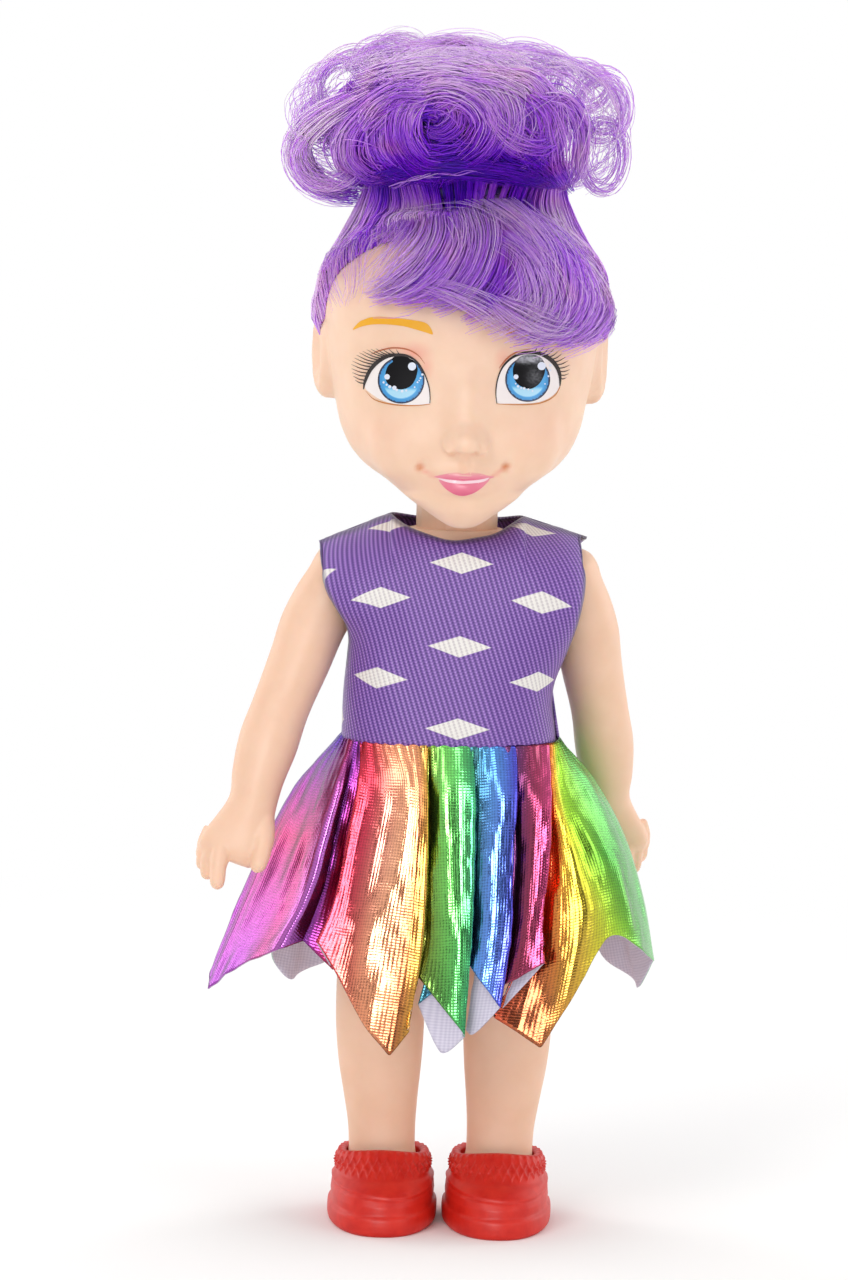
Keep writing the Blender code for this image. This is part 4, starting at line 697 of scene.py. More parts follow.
eyeTables = {
    "right": {
        "outline": [(-14.01, 128.38), (-13.68, 129.74), (-13.11, 130.96), (-12.37, 131.88), (-11.64, 132.56),
                    (-10.75, 132.98),
                    (-9.55, 133.25), (-8.35, 133.19), (-7.28, 132.83), (-6.36, 132.1), (-5.58, 131.01),
                    (-4.95, 129.82),
                    (-4.56, 128.48), (-4.4, 127.28), (-4.41, 126.28), (-5.76, 126.04), (-7.26, 125.97),
                    (-9.07, 126.04),
                    (-10.58, 126.27), (-11.95, 126.78), (-13.17, 127.56)],
        "iris": (-8.71, 129.57, 3.44),
        "pupil": [(-10.81, 129.22), (-11.04, 130.11), (-10.94, 131.02), (-10.57, 131.78), (-9.98, 132.3),
                  (-10.14, 132.69),
                  (-9.55, 133.1), (-8.34, 133.13), (-7.43, 132.76), (-6.82, 132.33), (-6.35, 131.44),
                  (-6.41, 130.53),
                  (-6.69, 129.62), (-7.18, 128.86), (-7.93, 128.39), (-8.82, 128.22), (-9.73, 128.4),
                  (-10.34, 128.78)],
        "glints": [(-7.16, 131.66, 0.6), (-10.77, 130.03, 0.4)],
        "dots": [(-11.26, 129.2, 0.17), (-10.8, 128.86, 0.16), (-10.34, 128.57, 0.24), (-9.67, 128.43, 0.33),
                 (-9.3, 128.12, 0.2),
                 (-8.52, 127.98, 0.22), (-7.92, 128.09, 0.17), (-6.29, 129.33, 0.14), (-5.86, 129.95, 0.15),
                 (-5.6, 130.5, 0.18),
                 (-6.05, 129.6, 0.11), (-6.7, 128.6, 0.13)],
        "lashLine": [(-14.2, 128.1), (-13.98, 129.3), (-13.3, 130.9), (-12.2, 132.2), (-10.8, 133.05),
                     (-9.2, 133.3), (-8.0, 133.2),
                     (-6.9, 132.7), (-6.0, 131.8), (-5.2, 130.4), (-4.6, 128.7), (-4.4, 127.2),
                     (-4.42, 126.3)],
        "lashWidth": [0.12, 0.42, 0.55, 0.6, 0.55, 0.42, 0.36, 0.3, 0.25, 0.2, 0.16, 0.13, 0.1],
        "lower": [(-13.9, 127.9), (-12.85, 126.82), (-11.79, 126.36), (-10.28, 126.04), (-8.77, 125.9),
                  (-7.26, 125.88),
                  (-5.76, 125.98), (-4.38, 126.19)],
        "crease": [(-13.31, 133.2), (-12.57, 133.62), (-11.67, 133.94), (-10.48, 134.24), (-9.28, 134.3),
                   (-8.07, 134.16),
                   (-7.01, 133.76), (-6.09, 133.1), (-5.31, 132.1)],
        "lashBase": [(-14.02, 128.98), (-13.91, 129.44), (-13.81, 130.04), (-13.64, 130.5), (-13.41, 130.95),
                     (-13.15, 131.41),
                     (-12.82, 131.81), (-12.47, 132.12), (-12.06, 132.43), (-11.64, 132.68), (-11.2, 132.9),
                     (-10.75, 133.04),
                     (-10.27, 133.14), (-9.79, 133.24), (-9.25, 133.25), (-8.74, 133.21)],
        "lashTip": [(-15.48, 129.45), (-15.73, 129.99), (-15.89, 130.53), (-16.03, 131.12), (-16.04, 131.72),
                    (-15.9, 132.21),
                    (-15.67, 132.7), (-15.35, 133.12), (-14.91, 133.47), (-14.43, 133.69), (-13.84, 133.95),
                    (-13.24, 134.05),
                    (-12.52, 134.13), (-11.68, 134.15), (-10.72, 134.21), (-9.57, 134.12)],
    },
    "left": {
        "outline": [(5.43, 126.63), (5.28, 127.83), (5.33, 129.34), (5.62, 130.7), (6.13, 131.82),
                    (6.86, 132.74), (7.74, 133.43),
                    (8.93, 133.91), (10.13, 134.09), (11.34, 133.97), (12.55, 133.49), (13.48, 132.71),
                    (14.17, 131.67),
                    (14.53, 130.48), (14.51, 129.28), (14.05, 128.36), (13.02, 127.52), (11.53, 126.88),
                    (9.58, 126.62), (7.48, 126.57)],
        "iris": (9.85, 130.18, 3.3),
        "pupil": [(7.83, 130.31), (7.66, 131.05), (7.67, 131.8), (7.92, 132.56), (8.2, 133.08),
                  (8.79, 133.58), (9.69, 133.84),
                  (10.89, 133.81), (11.81, 133.32), (12.28, 132.53), (12.36, 131.63), (12.18, 130.72),
                  (11.61, 129.65),
                  (10.72, 128.94), (9.83, 128.79), (8.91, 129.13), (8.24, 129.62)],
        "glints": [(11.84, 132.21, 0.6), (8.12, 130.52, 0.36)],
        "dots": [(8.46, 129.12, 0.2), (8.92, 128.89, 0.16), (9.37, 128.84, 0.2), (9.98, 128.71, 0.16),
                 (12.87, 130.74, 0.15),
                 (13.06, 131.64, 0.2), (13.1, 132.35, 0.2), (12.4, 129.6, 0.12), (10.6, 128.5, 0.14),
                 (8.1, 129.5, 0.12)],
        "lashLine": [(5.43, 126.5), (5.24, 127.83), (5.3, 129.34), (5.6, 130.7), (6.1, 131.85), (6.85, 132.8),
                     (7.75, 133.5),
                     (8.93, 133.98), (10.13, 134.15), (11.4, 134.05), (12.6, 133.55), (13.6, 132.75),
                     (14.3, 131.7), (14.6, 130.5),
                     (14.6, 129.3)],
        "lashWidth": [0.1, 0.14, 0.18, 0.2, 0.24, 0.3, 0.36, 0.4, 0.42, 0.5, 0.6, 0.62, 0.55, 0.4, 0.12],
        "lower": [(5.37, 126.45), (7.48, 126.41), (9.59, 126.47), (11.54, 126.7), (13.03, 127.28),
                  (14.06, 128.12), (14.63, 129.22)],
        "crease": [(5.6, 131.7), (5.97, 132.21), (6.55, 132.98), (7.28, 133.66), (8.17, 134.16),
                   (9.22, 134.46), (11.0, 134.8)],
        "lashBase": [(10.6, 134.1), (11.18, 134.06), (11.79, 133.92), (12.27, 133.76), (12.76, 133.5),
                     (13.19, 133.18), (13.56, 132.8),
                     (13.88, 132.39), (14.13, 131.94), (14.35, 131.47), (14.49, 130.99), (14.55, 130.5)],
        "lashTip": [(11.2, 135.2), (12.06, 135.07), (12.87, 134.94), (13.57, 134.72), (14.24, 134.44),
                    (14.79, 134.09), (15.29, 133.63),
                    (15.72, 133.1), (16.01, 132.5), (16.0, 131.81), (15.86, 131.2), (15.5, 130.6)],
    },
}


def makeEyes():
    whites, irises, pupils, glints, lashes, creases, lowers = [], [], [], [], [], [], []
    for eye in eyeTables.values():
        whites.append(splineThrough(eye["outline"], 84, True))
        irises.append(discOutline(*eye["iris"], 64))
        pupils.append(splineThrough(eye["pupil"], 72, True))
        glints += [discOutline(*spot, 22) for spot in eye["glints"]]
        glints += [discOutline(*spot, 9) for spot in eye["dots"]]
        lashes.append(ribbonOutline(eye["lashLine"], eye["lashWidth"], 60))
        for base, tip in zip(eye["lashBase"], eye["lashTip"]):
            base, tip = np.array(base), np.array(tip)
            bend = (base + tip) / 2 + np.array((0, -0.16))
            lashes.append(ribbonOutline((base, bend, tip), (0.17, 0.13, 0.03), 9))
        creases.append(ribbonOutline(eye["crease"], (0.05, 0.2, 0.22, 0.2, 0.05), 40))
        lowers.append(ribbonOutline(eye["lower"], (0.04, 0.16, 0.18, 0.16, 0.1), 40))

    def irisShade(flat):
        shade = np.zeros(len(flat))
        for eye in eyeTables.values():
            x, z, radius = eye["iris"]
            dx, dz = flat[:, 0] - x, flat[:, 1] - z
            reach = np.hypot(dx, dz) / radius
            own = reach < 1.01
            crescent = 0.85 * ease((0.84 - reach) / 0.08) * ease((-dz / radius - 0.05) / 0.45)
            upper = 0.45 * ease((0.84 - reach) / 0.1)
            shade = np.where(own, np.where(reach > 0.93, 0.0, 0.2 + np.maximum(crescent, upper) * 0.8), shade)
        return shade

    def pupilWear(flat):
        points = np.stack((flat[:, 0], flat[:, 1], np.zeros(len(flat))), axis=1)
        grain = 0.5 + 0.5 * hashNoise(points, 0.22, 3)
        streak = 0.5 + 0.5 * hashNoise(points * np.array((0.5, 2.0, 1)), 0.3, 5)
        x, z = flat.T
        patch = np.exp(-(((x - 9.9) / 2.2) ** 2 + ((z - 133.25) / 0.55) ** 2))
        faint = 0.25 * np.exp(-(((x - 10.9) / 1.0) ** 2 + ((z - 130.6) / 1.2) ** 2))
        return np.clip((patch * 1.3 + faint) * (0.25 + grain * streak * 1.6), 0, 0.85)

    printPiece("eyeWhites", whites, 0.03, paintFinish("eyeWhite", tint(240, 232, 230)))
    printPiece("irises", irises, 0.045, irisFinish(), 0.16, {"shade": irisShade})
    printPiece("pupils", pupils, 0.06, pupilFinish(), 0.12, {"worn": pupilWear})
    printPiece("eyeGlints", glints, 0.075, paintFinish("glintWhite", tint(222, 228, 242)))
    printPiece("eyeLines", lashes, 0.07, paintFinish("lashBrown", tint(24, 8, 10)))
    printPiece("lidCreases", creases, 0.04, paintFinish("creaseBrown", tint(186, 100, 62)))
    printPiece("lowerLids", lowers, 0.05, paintFinish("lowerLidOchre", tint(196, 122, 52)))


def makeBrowAndLips():
    brow = [(-16.01, 136.8), (-15.08, 137.96), (-14.24, 138.38), (-13.44, 138.67), (-11.79, 138.8),
            (-9.38, 138.65), (-6.97, 138.42),
            (-5.46, 138.13), (-4.7, 137.55), (-4.22, 136.45), (-5.12, 136.63), (-6.94, 137.13),
            (-8.75, 137.53), (-11.16, 137.71),
            (-13.27, 137.62), (-14.76, 137.28)]
    mirrored = [(2.3 - x, z + 0.35) for x, z in brow]
    printPiece("brows", [splineThrough(brow, 90, True), splineThrough(mirrored, 90, True)], 0.04,
               paintFinish("browGold", tint(238, 170, 12)))
    upper = [(-3.53, 115.48), (-2.48, 115.81), (-1.28, 116.05), (-0.08, 116.2), (0.83, 116.02),
             (1.73, 116.25), (3.24, 116.14),
             (4.3, 115.9), (5.36, 115.71), (4.02, 115.25), (2.67, 114.98), (0.86, 114.81), (-0.95, 114.94),
             (-2.47, 115.26)]
    lower = [(-2.76, 115.1), (-0.94, 114.7), (0.87, 114.6), (2.68, 114.78), (4.62, 115.39), (4.04, 114.53),
             (3.3, 113.84),
             (2.26, 113.18), (0.91, 112.78), (-0.3, 112.93), (-1.37, 113.48), (-2.14, 114.13)]
    # a pale white-pink band across the lips: painted highlight
    lipHighlightOutline = [(-2.89, 115.31), (-1.56, 115.17), (-0.35, 115.08), (0.85, 115.05), (2.36, 115.15),
             (3.71, 115.37), (4.61, 115.57),
             (3.87, 115.01), (2.68, 114.72), (0.87, 114.55), (-0.94, 114.64), (-2.16, 114.95)]

    def lipShade(flat):
        x, z = flat.T
        middle = 115.0 + 0.025 * (x - 0.85) ** 2
        upperShade = 1 - np.clip((z - middle) / 1.15, 0, 1) * 0.95
        lowerShade = 0.65 + 0.35 * np.clip((middle - z) / 2.0, 0, 1)
        tips = np.clip((np.abs(x - 0.85) - 2.6) / 1.8, 0, 1) * 0.5
        return np.clip(np.where(z > middle, upperShade, lowerShade) - tips, 0, 1)

    printPiece("lips", [splineThrough(upper, 70, True), splineThrough(lower, 70, True)], 0.03, lipFinish(),
               0.2, {"shade": lipShade})
    printPiece("lipPaintedHighlight", [splineThrough(lipHighlightOutline, 60, True)], 0.05,
               paintFinish("lipHighlightWhite", tint(248, 216, 224), 0.25), 0.2)


makeEyes()
makeBrowAndLips()


# Hair: strands are guide lines in millimetres; one node tree gives them their round section

def strandTree():
    tree = bpy.data.node_groups.new("strandTubes", "GeometryNodeTree")
    face = tree.interface
    face.new_socket("Guides", in_out="INPUT", socket_type="NodeSocketGeometry")
    radius = face.new_socket("Strand Radius", in_out="INPUT", socket_type="NodeSocketFloat")
    radius.default_value = 0.0001
    sides = face.new_socket("Sides", in_out="INPUT", socket_type="NodeSocketInt")
    sides.default_value = 3
    face.new_socket("Finish", in_out="INPUT", socket_type="NodeSocketMaterial")
    face.new_socket("Strands", in_out="OUTPUT", socket_type="NodeSocketGeometry")
    nodes, links = tree.nodes, tree.links
    start, end = nodes.new("NodeGroupInput"), nodes.new("NodeGroupOutput")
    toCurve = nodes.new("GeometryNodeMeshToCurve")
    circle = nodes.new("GeometryNodeCurvePrimitiveCircle")
    toMesh = nodes.new("GeometryNodeCurveToMesh")
    thick = nodes.new("GeometryNodeInputNamedAttribute")
    thick.data_type = "FLOAT"
    thick.inputs["Name"].default_value = "thick"
    realize = nodes.new("GeometryNodeRealizeInstances")
    finish = nodes.new("GeometryNodeSetMaterial")
    links.new(start.outputs["Guides"], toCurve.inputs["Mesh"])
    links.new(toCurve.outputs["Curve"], toMesh.inputs["Curve"])
    links.new(start.outputs["Sides"], circle.inputs["Resolution"])
    links.new(start.outputs["Strand Radius"], circle.inputs["Radius"])
    links.new(circle.outputs["Curve"], toMesh.inputs["Profile Curve"])
    links.new(thick.outputs["Attribute"], toMesh.inputs["Scale"])
    links.new(toMesh.outputs["Mesh"], realize.inputs["Geometry"])
    links.new(realize.outputs["Geometry"], finish.inputs["Geometry"])
    links.new(start.outputs["Finish"], finish.inputs["Material"])
    links.new(finish.outputs["Geometry"], end.inputs["Strands"])
    return tree


strandTubes = strandTree()


# a plain mesh from guide lines and a node tree; settings go in by each socket's identifier
def grown(name, guides, tree, settings):
    holder = linked(name + "Guides", guides)
    step = holder.modifiers.new("grow", "NODES")
    step.node_group = tree
    for item in tree.interface.items_tree:
        if item.item_type == "SOCKET" and item.in_out == "INPUT" and item.name in settings:
            step[item.identifier] = settings[item.name]
    holder.update_tag()
    graph = bpy.context.evaluated_depsgraph_get()
    mesh = bpy.data.meshes.new_from_object(holder.evaluated_get(graph), depsgraph=graph)
    holder.modifiers.clear()
    bpy.data.objects.remove(holder, do_unlink=True)
    mesh.name = name
    mesh.shade_smooth()
    return linked(name, mesh)


# lines is strands x points x 3; thick scales the radius and shade picks the colour, both per point
def strands(name, lines, thick, shade, body, radius=0.1, sides=3, material=None):
    count, steps = lines.shape[:2]
    parts = math.ceil(count * (steps - 1) * sides / 96000)
    if parts > 1:
        for k in range(parts):
            strands(f"{name}{k}", lines[k::parts], thick[k::parts], shade[k::parts], body, radius, sides,
                    material)
        return
    mesh = bpy.data.meshes.new(name + "Guides")
    mesh.vertices.add(count * steps)
    mesh.vertices.foreach_set("co", toRow(lines.reshape(-1, 3)).astype(np.float32).ravel())
    index = np.arange(count * steps).reshape(count, steps)
    edges = np.stack((index[:, :-1], index[:, 1:]), axis=-1).reshape(-1, 2)
    mesh.edges.add(len(edges))
    mesh.edges.foreach_set("vertices", edges.astype(np.int32).ravel())
    for key, values in (("thick", thick), ("shade", shade)):
        attribute = mesh.attributes.new(key, "FLOAT", "POINT")
        attribute.data.foreach_set("value", np.clip(values, 0.02, 3).astype(np.float32).ravel())
    obj = grown(name, mesh, strandTubes, {"Strand Radius": radius * mm, "Sides": sides, "Finish": material
                                          or hair})
    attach(obj, body)
    print(name, len(obj.data.polygons), "faces")


def hairline(azimuth):
    rows = ((0, 29), (25, 31), (45, 37), (66, 47), (77, 56), (82, 66), (88, 75), (94, 72), (100, 70),
            (115, 86), (140, 118), (180, 128))
    return np.radians(smoothTable(np.abs(np.degrees(azimuth)), rows))


def guideFrame(guide):
    # points along a guide line of the front view, and its left-hand normals
    path = splineThrough(guide, 60)
    tangent = np.gradient(path, axis=0)
    tangent /= np.linalg.norm(tangent, axis=1, keepdims=True)
    return path, np.stack((-tangent[:, 1], tangent[:, 0]), axis=1)


def readGuide(path, normal, place):
    # path and normal between their points; place runs from 0 to 59
    low = place.astype(int).clip(0, 58)
    share = (place - low)[:, None]
    return [table[low] * (1 - share) + table[low + 1] * share for table in (path, normal)]


def capThin(azimuths, polars):
    # the combed hair lies closer to the head over the ears
    return 1 - 0.45 * ease((np.degrees(polars) - 48) / 22) * np.abs(np.sin(azimuths))


def makeCap():
    columns, rows = 120, 34
    a = np.linspace(-math.pi, math.pi, columns, endpoint=False)
    share = np.linspace(0.02, 1, rows)
    azimuths, polars = np.tile(a, rows), (share[:, None] * hairline(a)[None]).ravel()
    offsets = np.repeat(0.12 + 0.78 * ease((1 - share) / 0.10), columns) * capThin(azimuths, polars)
    outer = turnHead(headPoints(azimuths, polars, offsets)).reshape(rows, columns, 3)
    points = np.concatenate((outer.reshape(-1, 3), turnHead(headPoints([0.0], [0.0], 1.5))))
    faces = gridFaces(rows, columns, True)[:, ::-1].tolist() + rim(0, columns, rows * columns, True)
    base = addMesh("capUnderlay", points, faces, shadedHairUnderlay)
    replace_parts(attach(base, "head"), "hair_cap")
    steps = 15
    # the inner layer is given a darker tone than the outer one: painted shade under the outer strands
    for layer, (count, low, high, bright) in enumerate(((1700, 1.0, 1.9, 0.50), (1300, 1.7, 2.5, 0.72))):
        a0 = rng.uniform(-math.pi, math.pi, count)
        lock = np.round(a0 / 0.075) * 0.075
        run = np.linspace(0, 1, steps)[None]
        drift = 0.05 * np.sin(lock * 37)[:, None] + rng.normal(0, 0.025, count)[:, None]
        azimuth = a0[:, None] + (lock - a0)[:, None] * 0.35 * np.sin(run * math.pi) + drift * run
        start = hairline(a0)[:, None] + np.radians(rng.uniform(-1.5, 1.2, count))[:, None]
        end = math.radians(17.5)
        polar = start + (end - start) * run
        reach = rng.uniform(low, high, count)[:, None]
        offset = 0.1 + (reach - 0.1) * ease(run / 0.14) + 0.25 * hashNoise(
            np.stack((azimuth * 40, polar * 9, np.full_like(polar, layer)), axis=-1).reshape(-1, 3), 1.0,
            2).reshape(polar.shape)
        offset = np.minimum(offset, 2.55) * capThin(azimuth, polar)
        lines = turnHead(headPoints(azimuth.ravel(), polar.ravel(), offset.ravel(), 18)).reshape(count, steps,
                                                                                                 3)
        # the combed hair rises to the topknot outside the tie
        wide, deep = 13.4 + reach * 0.7, 12.6 + reach * 0.7
        collar = np.stack(np.broadcast_arrays(wide * np.sin(azimuth), neckY - deep * np.cos(azimuth),
                                              156.4 + 4.6 * run), axis=-1)
        rising = ease((run - 0.42) / 0.38)[..., None]
        lines = lines * (1 - rising) + turnHead(collar) * rising
        # tone: each lock's own tone with random variation, a little paler mid-way along (painted light), and
        # darker as the strands rise to the tie, most at the front: painted shade under the topknot
        tone = bright + 0.20 * np.sin(lock * 91)[:, None] + rng.normal(0, 0.10, count)[:, None]
        tone = tone + 0.10 * np.sin(run * math.pi) - (0.30 + 0.35 * np.maximum(np.cos(azimuth),
                                                                               0)) * ease((lines[..., 2]
                                                                                           - 153.5) / 4)
        thick = np.broadcast_to(1 - 0.35 * run, tone.shape)
        strands(f"capHair{layer}", lines, thick, tone, "head", 0.115)


def makeTie():
    points, columns, rows = [], 96, 14
    a = np.linspace(0, 2 * math.pi, columns, endpoint=False)
    b = np.linspace(0, 2 * math.pi, rows, endpoint=False)
    for angle in b:
        twist = 1.25 + 0.12 * np.sin(24 * a + angle)
        radius = 9.6 + twist * math.cos(angle)
        points.append(np.stack((radius * np.cos(a), neckY + radius * np.sin(a), 157.3 + twist
                                * math.sin(angle)), axis=1))
    points = turnHead(np.concatenate(points))
    faces = gridFaces(rows, columns, True).tolist() + [((rows - 1) * columns + k, (rows - 1) * columns
                                                        + (k + 1) % columns,
                                                        (k + 1) % columns, k) for k in range(columns)]
    tie = addMesh("elasticTie", points, faces, tieViolet)
    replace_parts(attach(tie, "head"), "hair_elastic")


makeCap()
makeTie()


# brightness is partly each lock's own tone and partly painted light and shade
fringeLocks = (  # guide line in the front view, width, strands, brightness
    (((-10.6, 154.2), (-11.9, 152.1), (-14.3, 150.2), (-15.3, 146.7), (-15.2, 143.1), (-16.2, 139.9)), 1.8,
     26, 0.80),
    (((-13.0, 152.7), (-15.7, 150.2), (-17.4, 146.6), (-17.7, 143.1), (-16.5, 139.5)), 1.4, 26, 0.76),
    (((-9.4, 154.9), (-9.8, 152.4), (-11.4, 150.2), (-13.2, 149.0)), 1.8, 60, 0.60),
    (((-8.0, 155.2), (-7.6, 152.2), (-8.6, 149.6), (-10.4, 147.9)), 1.8, 84, 0.62),
    (((-7.4, 155.4), (-7.3, 151.8), (-8.3, 148.6), (-10.4, 145.7), (-12.8, 143.2), (-14.8, 141.7)), 1.7, 34,
     0.74),
    (((-5.3, 155.8), (-4.2, 152.3), (-4.4, 148.4), (-6.5, 144.8), (-9.9, 142.6), (-13.4, 141.6)), 1.9, 170,
     0.62),
    (((-3.2, 155.8), (-1.4, 152.3), (-0.9, 148.5), (-2.6, 144.5), (-5.7, 142.2), (-9.5, 141.3)), 2.1, 210,
     0.52),
    (((-1.1, 155.5), (1.1, 152.4), (2.2, 148.5), (1.3, 144.6), (-1.4, 141.9), (-4.9, 140.9)), 2.1, 210, 0.62),
    (((1.0, 154.9), (3.9, 151.8), (5.4, 147.9), (4.8, 144.0), (2.5, 141.0), (-0.7, 139.6)), 2.1, 210, 0.46),
    (((3.2, 153.9), (6.4, 150.8), (8.6, 146.9), (8.4, 143.0), (6.0, 140.1), (2.5, 138.4)), 2.1, 210, 0.62),
    (((5.6, 152.9), (9.3, 149.8), (11.8, 146.0), (11.9, 142.1), (9.6, 138.8), (5.7, 137.1)), 2.1, 210, 0.52),
    (((8.1, 151.9), (11.7, 148.8), (14.7, 145.3), (15.1, 141.4), (12.8, 138.0), (9.0, 135.9)), 2.0, 210,
     0.40),
    (((10.3, 150.9), (14.2, 147.8), (17.1, 144.7), (17.9, 141.2), (15.9, 137.6), (12.5, 135.6)), 1.9, 200,
     0.56),
    (((12.4, 149.9), (16.0, 147.1), (18.9, 144.0), (20.1, 140.9), (18.8, 137.8), (15.6, 136.1)), 1.6, 170,
     0.66),
    # the last five locks lie over the others and are the palest: painted highlight
    (((-9.6, 155.4), (-2.5, 155.6), (2.8, 154.0), (8.1, 151.0), (13.5, 148.3), (17.8, 145.0)), 1.1, 60, 0.92),
    (((-5.3, 155.6), (1.0, 154.4), (7.5, 150.4), (11.1, 145.7), (10.6, 141.0), (7.1, 138.2)), 2.0, 60, 0.86),
    (((4.7, 149.2), (8.3, 145.5), (10.2, 141.0), (8.5, 137.6)), 2.4, 50, 0.80),
    (((-7.1, 143.0), (-2.1, 141.8), (3.2, 139.9), (7.2, 137.4)), 1.3, 34, 0.80),
    (((3.5, 141.4), (7.0, 139.4), (11.5, 138.0), (15.6, 138.4)), 1.3, 36, 0.80),
)


def makeFringe():
    steps = 14
    run = np.linspace(0, 1, steps)
    lines, thick, tone = [], [], []
    for k, (guide, width, count, bright) in enumerate(fringeLocks):
        path, normal = guideFrame(guide)
        sparse = count < 100
        for _ in range(count):
            spread, layer = rng.normal(0, 0.62), rng.uniform(0, 1)
            start, end = rng.uniform(0, 0.05), rng.uniform(0.82 if layer > 0.5 else 0.7, 1.0)
            flat, side = readGuide(path, normal, np.clip(start + (end - start) * run, 0, 1) * 59)
            fan = 0.85 + 0.3 * run + 0.2 * np.sin(run * 5 + k) - 0.35 * ease((run - 0.7) / 0.3)
            wobble = 0.22 * np.sin(run * rng.uniform(3, 7) + rng.uniform(0, 6.28)) * run
            flat = flat + side * (spread * width * fan + wobble)[:, None]
            flat = flat + side * (rng.normal(0, 0.5) * ease((run - 0.6) / 0.4) ** 2)[:, None]
            bulge = (1.2 if sparse else 1.0) + (2.6 if count >= 100 else 0.8) * layer
            arch = np.sin(np.clip(run * 1.15 + 0.12, 0, 1) * math.pi / 2) * (1 - 0.55
                                                                             * ease((run - 0.66) / 0.34))
            if k > 13:
                bulge, arch = 3.8, 0.6 + 0.4 * np.sin(math.pi * run)
            lift = (0.7 + bulge * arch + 0.35 * math.sin(k * 2.1)) * (1 - 0.45 * ease((flat[:, 0] - 13) / 7))
            lines.append([onSkin(x, z, up) for (x, z), up in zip(flat, lift)])
            fine = 0.62 if sparse else 1.0
            thick.append(fine * rng.uniform(0.75, 1.1) * (1 - 0.55 * run**2))
            # tone: outer strands paler and inner ones darker, and darker at the roots: painted light and
            # shade; a little lighter towards the tips
            tone.append(bright + 0.24 * (layer - 0.5) + rng.normal(0, 0.09) - 0.35 * ease((0.10 - run) / 0.10)
                        + 0.12 * np.sin(run * 4.5 + k) + 0.16 * ease((run - 0.7) / 0.3))
    strands("fringeHair", np.array(lines), np.array(thick), np.array(tone), "head", 0.085)


def makeFringeBase():
    # the mat of inner hair under the fringe's strands
    roots = splineThrough([(-4.0, 153.2), (0.0, 153.0), (6.0, 150.6), (13.0, 147.4)], 60)
    edges = splineThrough([(-4.6, 146.4), (-1.6, 144.6), (4.0, 142.6), (10.5, 140.4), (16.2, 140.8)], 60)
    rows = 22
    grid, lower = [], []
    for i in range(rows):
        t = i / (rows - 1)
        flat = edges * (1 - t) + roots * t
        arch = 0.35 + 0.7 * math.sin(math.pi * min(t * 1.15, 1.0)) ** 0.7
        grid.append([onSkin(x, z, arch) for x, z in flat])
        lower.append([onSkin(x, z, 0.12) for x, z in flat])
    points, back, front, rim = slabOf(np.array(lower), np.array(grid))
    base = addMesh("fringeUnderlay", points, back + front + rim, shadedHairUnderlay)
    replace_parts(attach(base, "head"), "fringe")


makeFringeBase()
makeFringe()
print("fringe done")

bun = {"centre": (-1.0, 1.5, 168.4), "halfWidth": 24.0, "halfDepth": 20.4, "rise": 10.6, "drop": 11.8,
       "squareness": 0.82}
bunCore = {"centre": (-3.6, 1.5, 166.0), "halfWidth": 17.0, "halfDepth": 16.6, "rise": 8.6, "drop": 8.6,
           "squareness": 0.9}


def bunPlace(azimuth, rise, swell=1.0, bun=bun):
    # a place on the topknot: azimuth round it, rise from -90 below to 90 on top, swell from its core
    a, p = np.asarray(azimuth, float), np.radians(np.asarray(rise, float))
    c = np.sign(np.cos(p)) * np.abs(np.cos(p)) ** bun["squareness"]
    s = np.sign(np.sin(p)) * np.abs(np.sin(p)) ** bun["squareness"]
    lumps = 1 + 0.05 * np.sin(3 * a + 1.0) + 0.04 * np.sin(5 * a - 0.6) + 0.03 * np.sin(9 * a + 2.0)
    x = bun["centre"][0] + bun["halfWidth"] * c * np.sin(a) * swell * lumps
    y = bun["centre"][1] - bun["halfDepth"] * c * np.cos(a) * swell * lumps
    z = bun["centre"][2] + np.where(s > 0, bun["rise"], bun["drop"]) * s * swell
    return np.stack((x, y, z), axis=-1)


def bunFront(x, z):
    # depth of the topknot's front at a place of the front view
    s = np.abs(z - bun["centre"][2]) / np.where(z > bun["centre"][2], bun["rise"], bun["drop"])
    c = np.clip(1 - np.clip(s, 0, 1) ** (2 / bun["squareness"]), 0, 1) ** (bun["squareness"] / 2)
    reach = np.clip(c**2 - ((x - bun["centre"][0]) / (bun["halfWidth"] + 1)) ** 2, 0, 1)
    return bun["centre"][1] - bun["halfDepth"] * np.sqrt(reach)


def bunLightAndShade(x, z):
    # painted light and shade: paler towards the top, deep violet at the crease under the topknot, lighter
    # again at both ends
    tone = smoothTable(z, ((154, 0.30), (158, 0.16), (161, 0.20), (164, 0.40), (168, 0.52), (172, 0.64),
                           (176, 0.82), (180, 0.96)))
    return tone + (0.80 - np.minimum(tone, 0.80)) * ease((np.abs(x + 1.5) - 12) / 8)


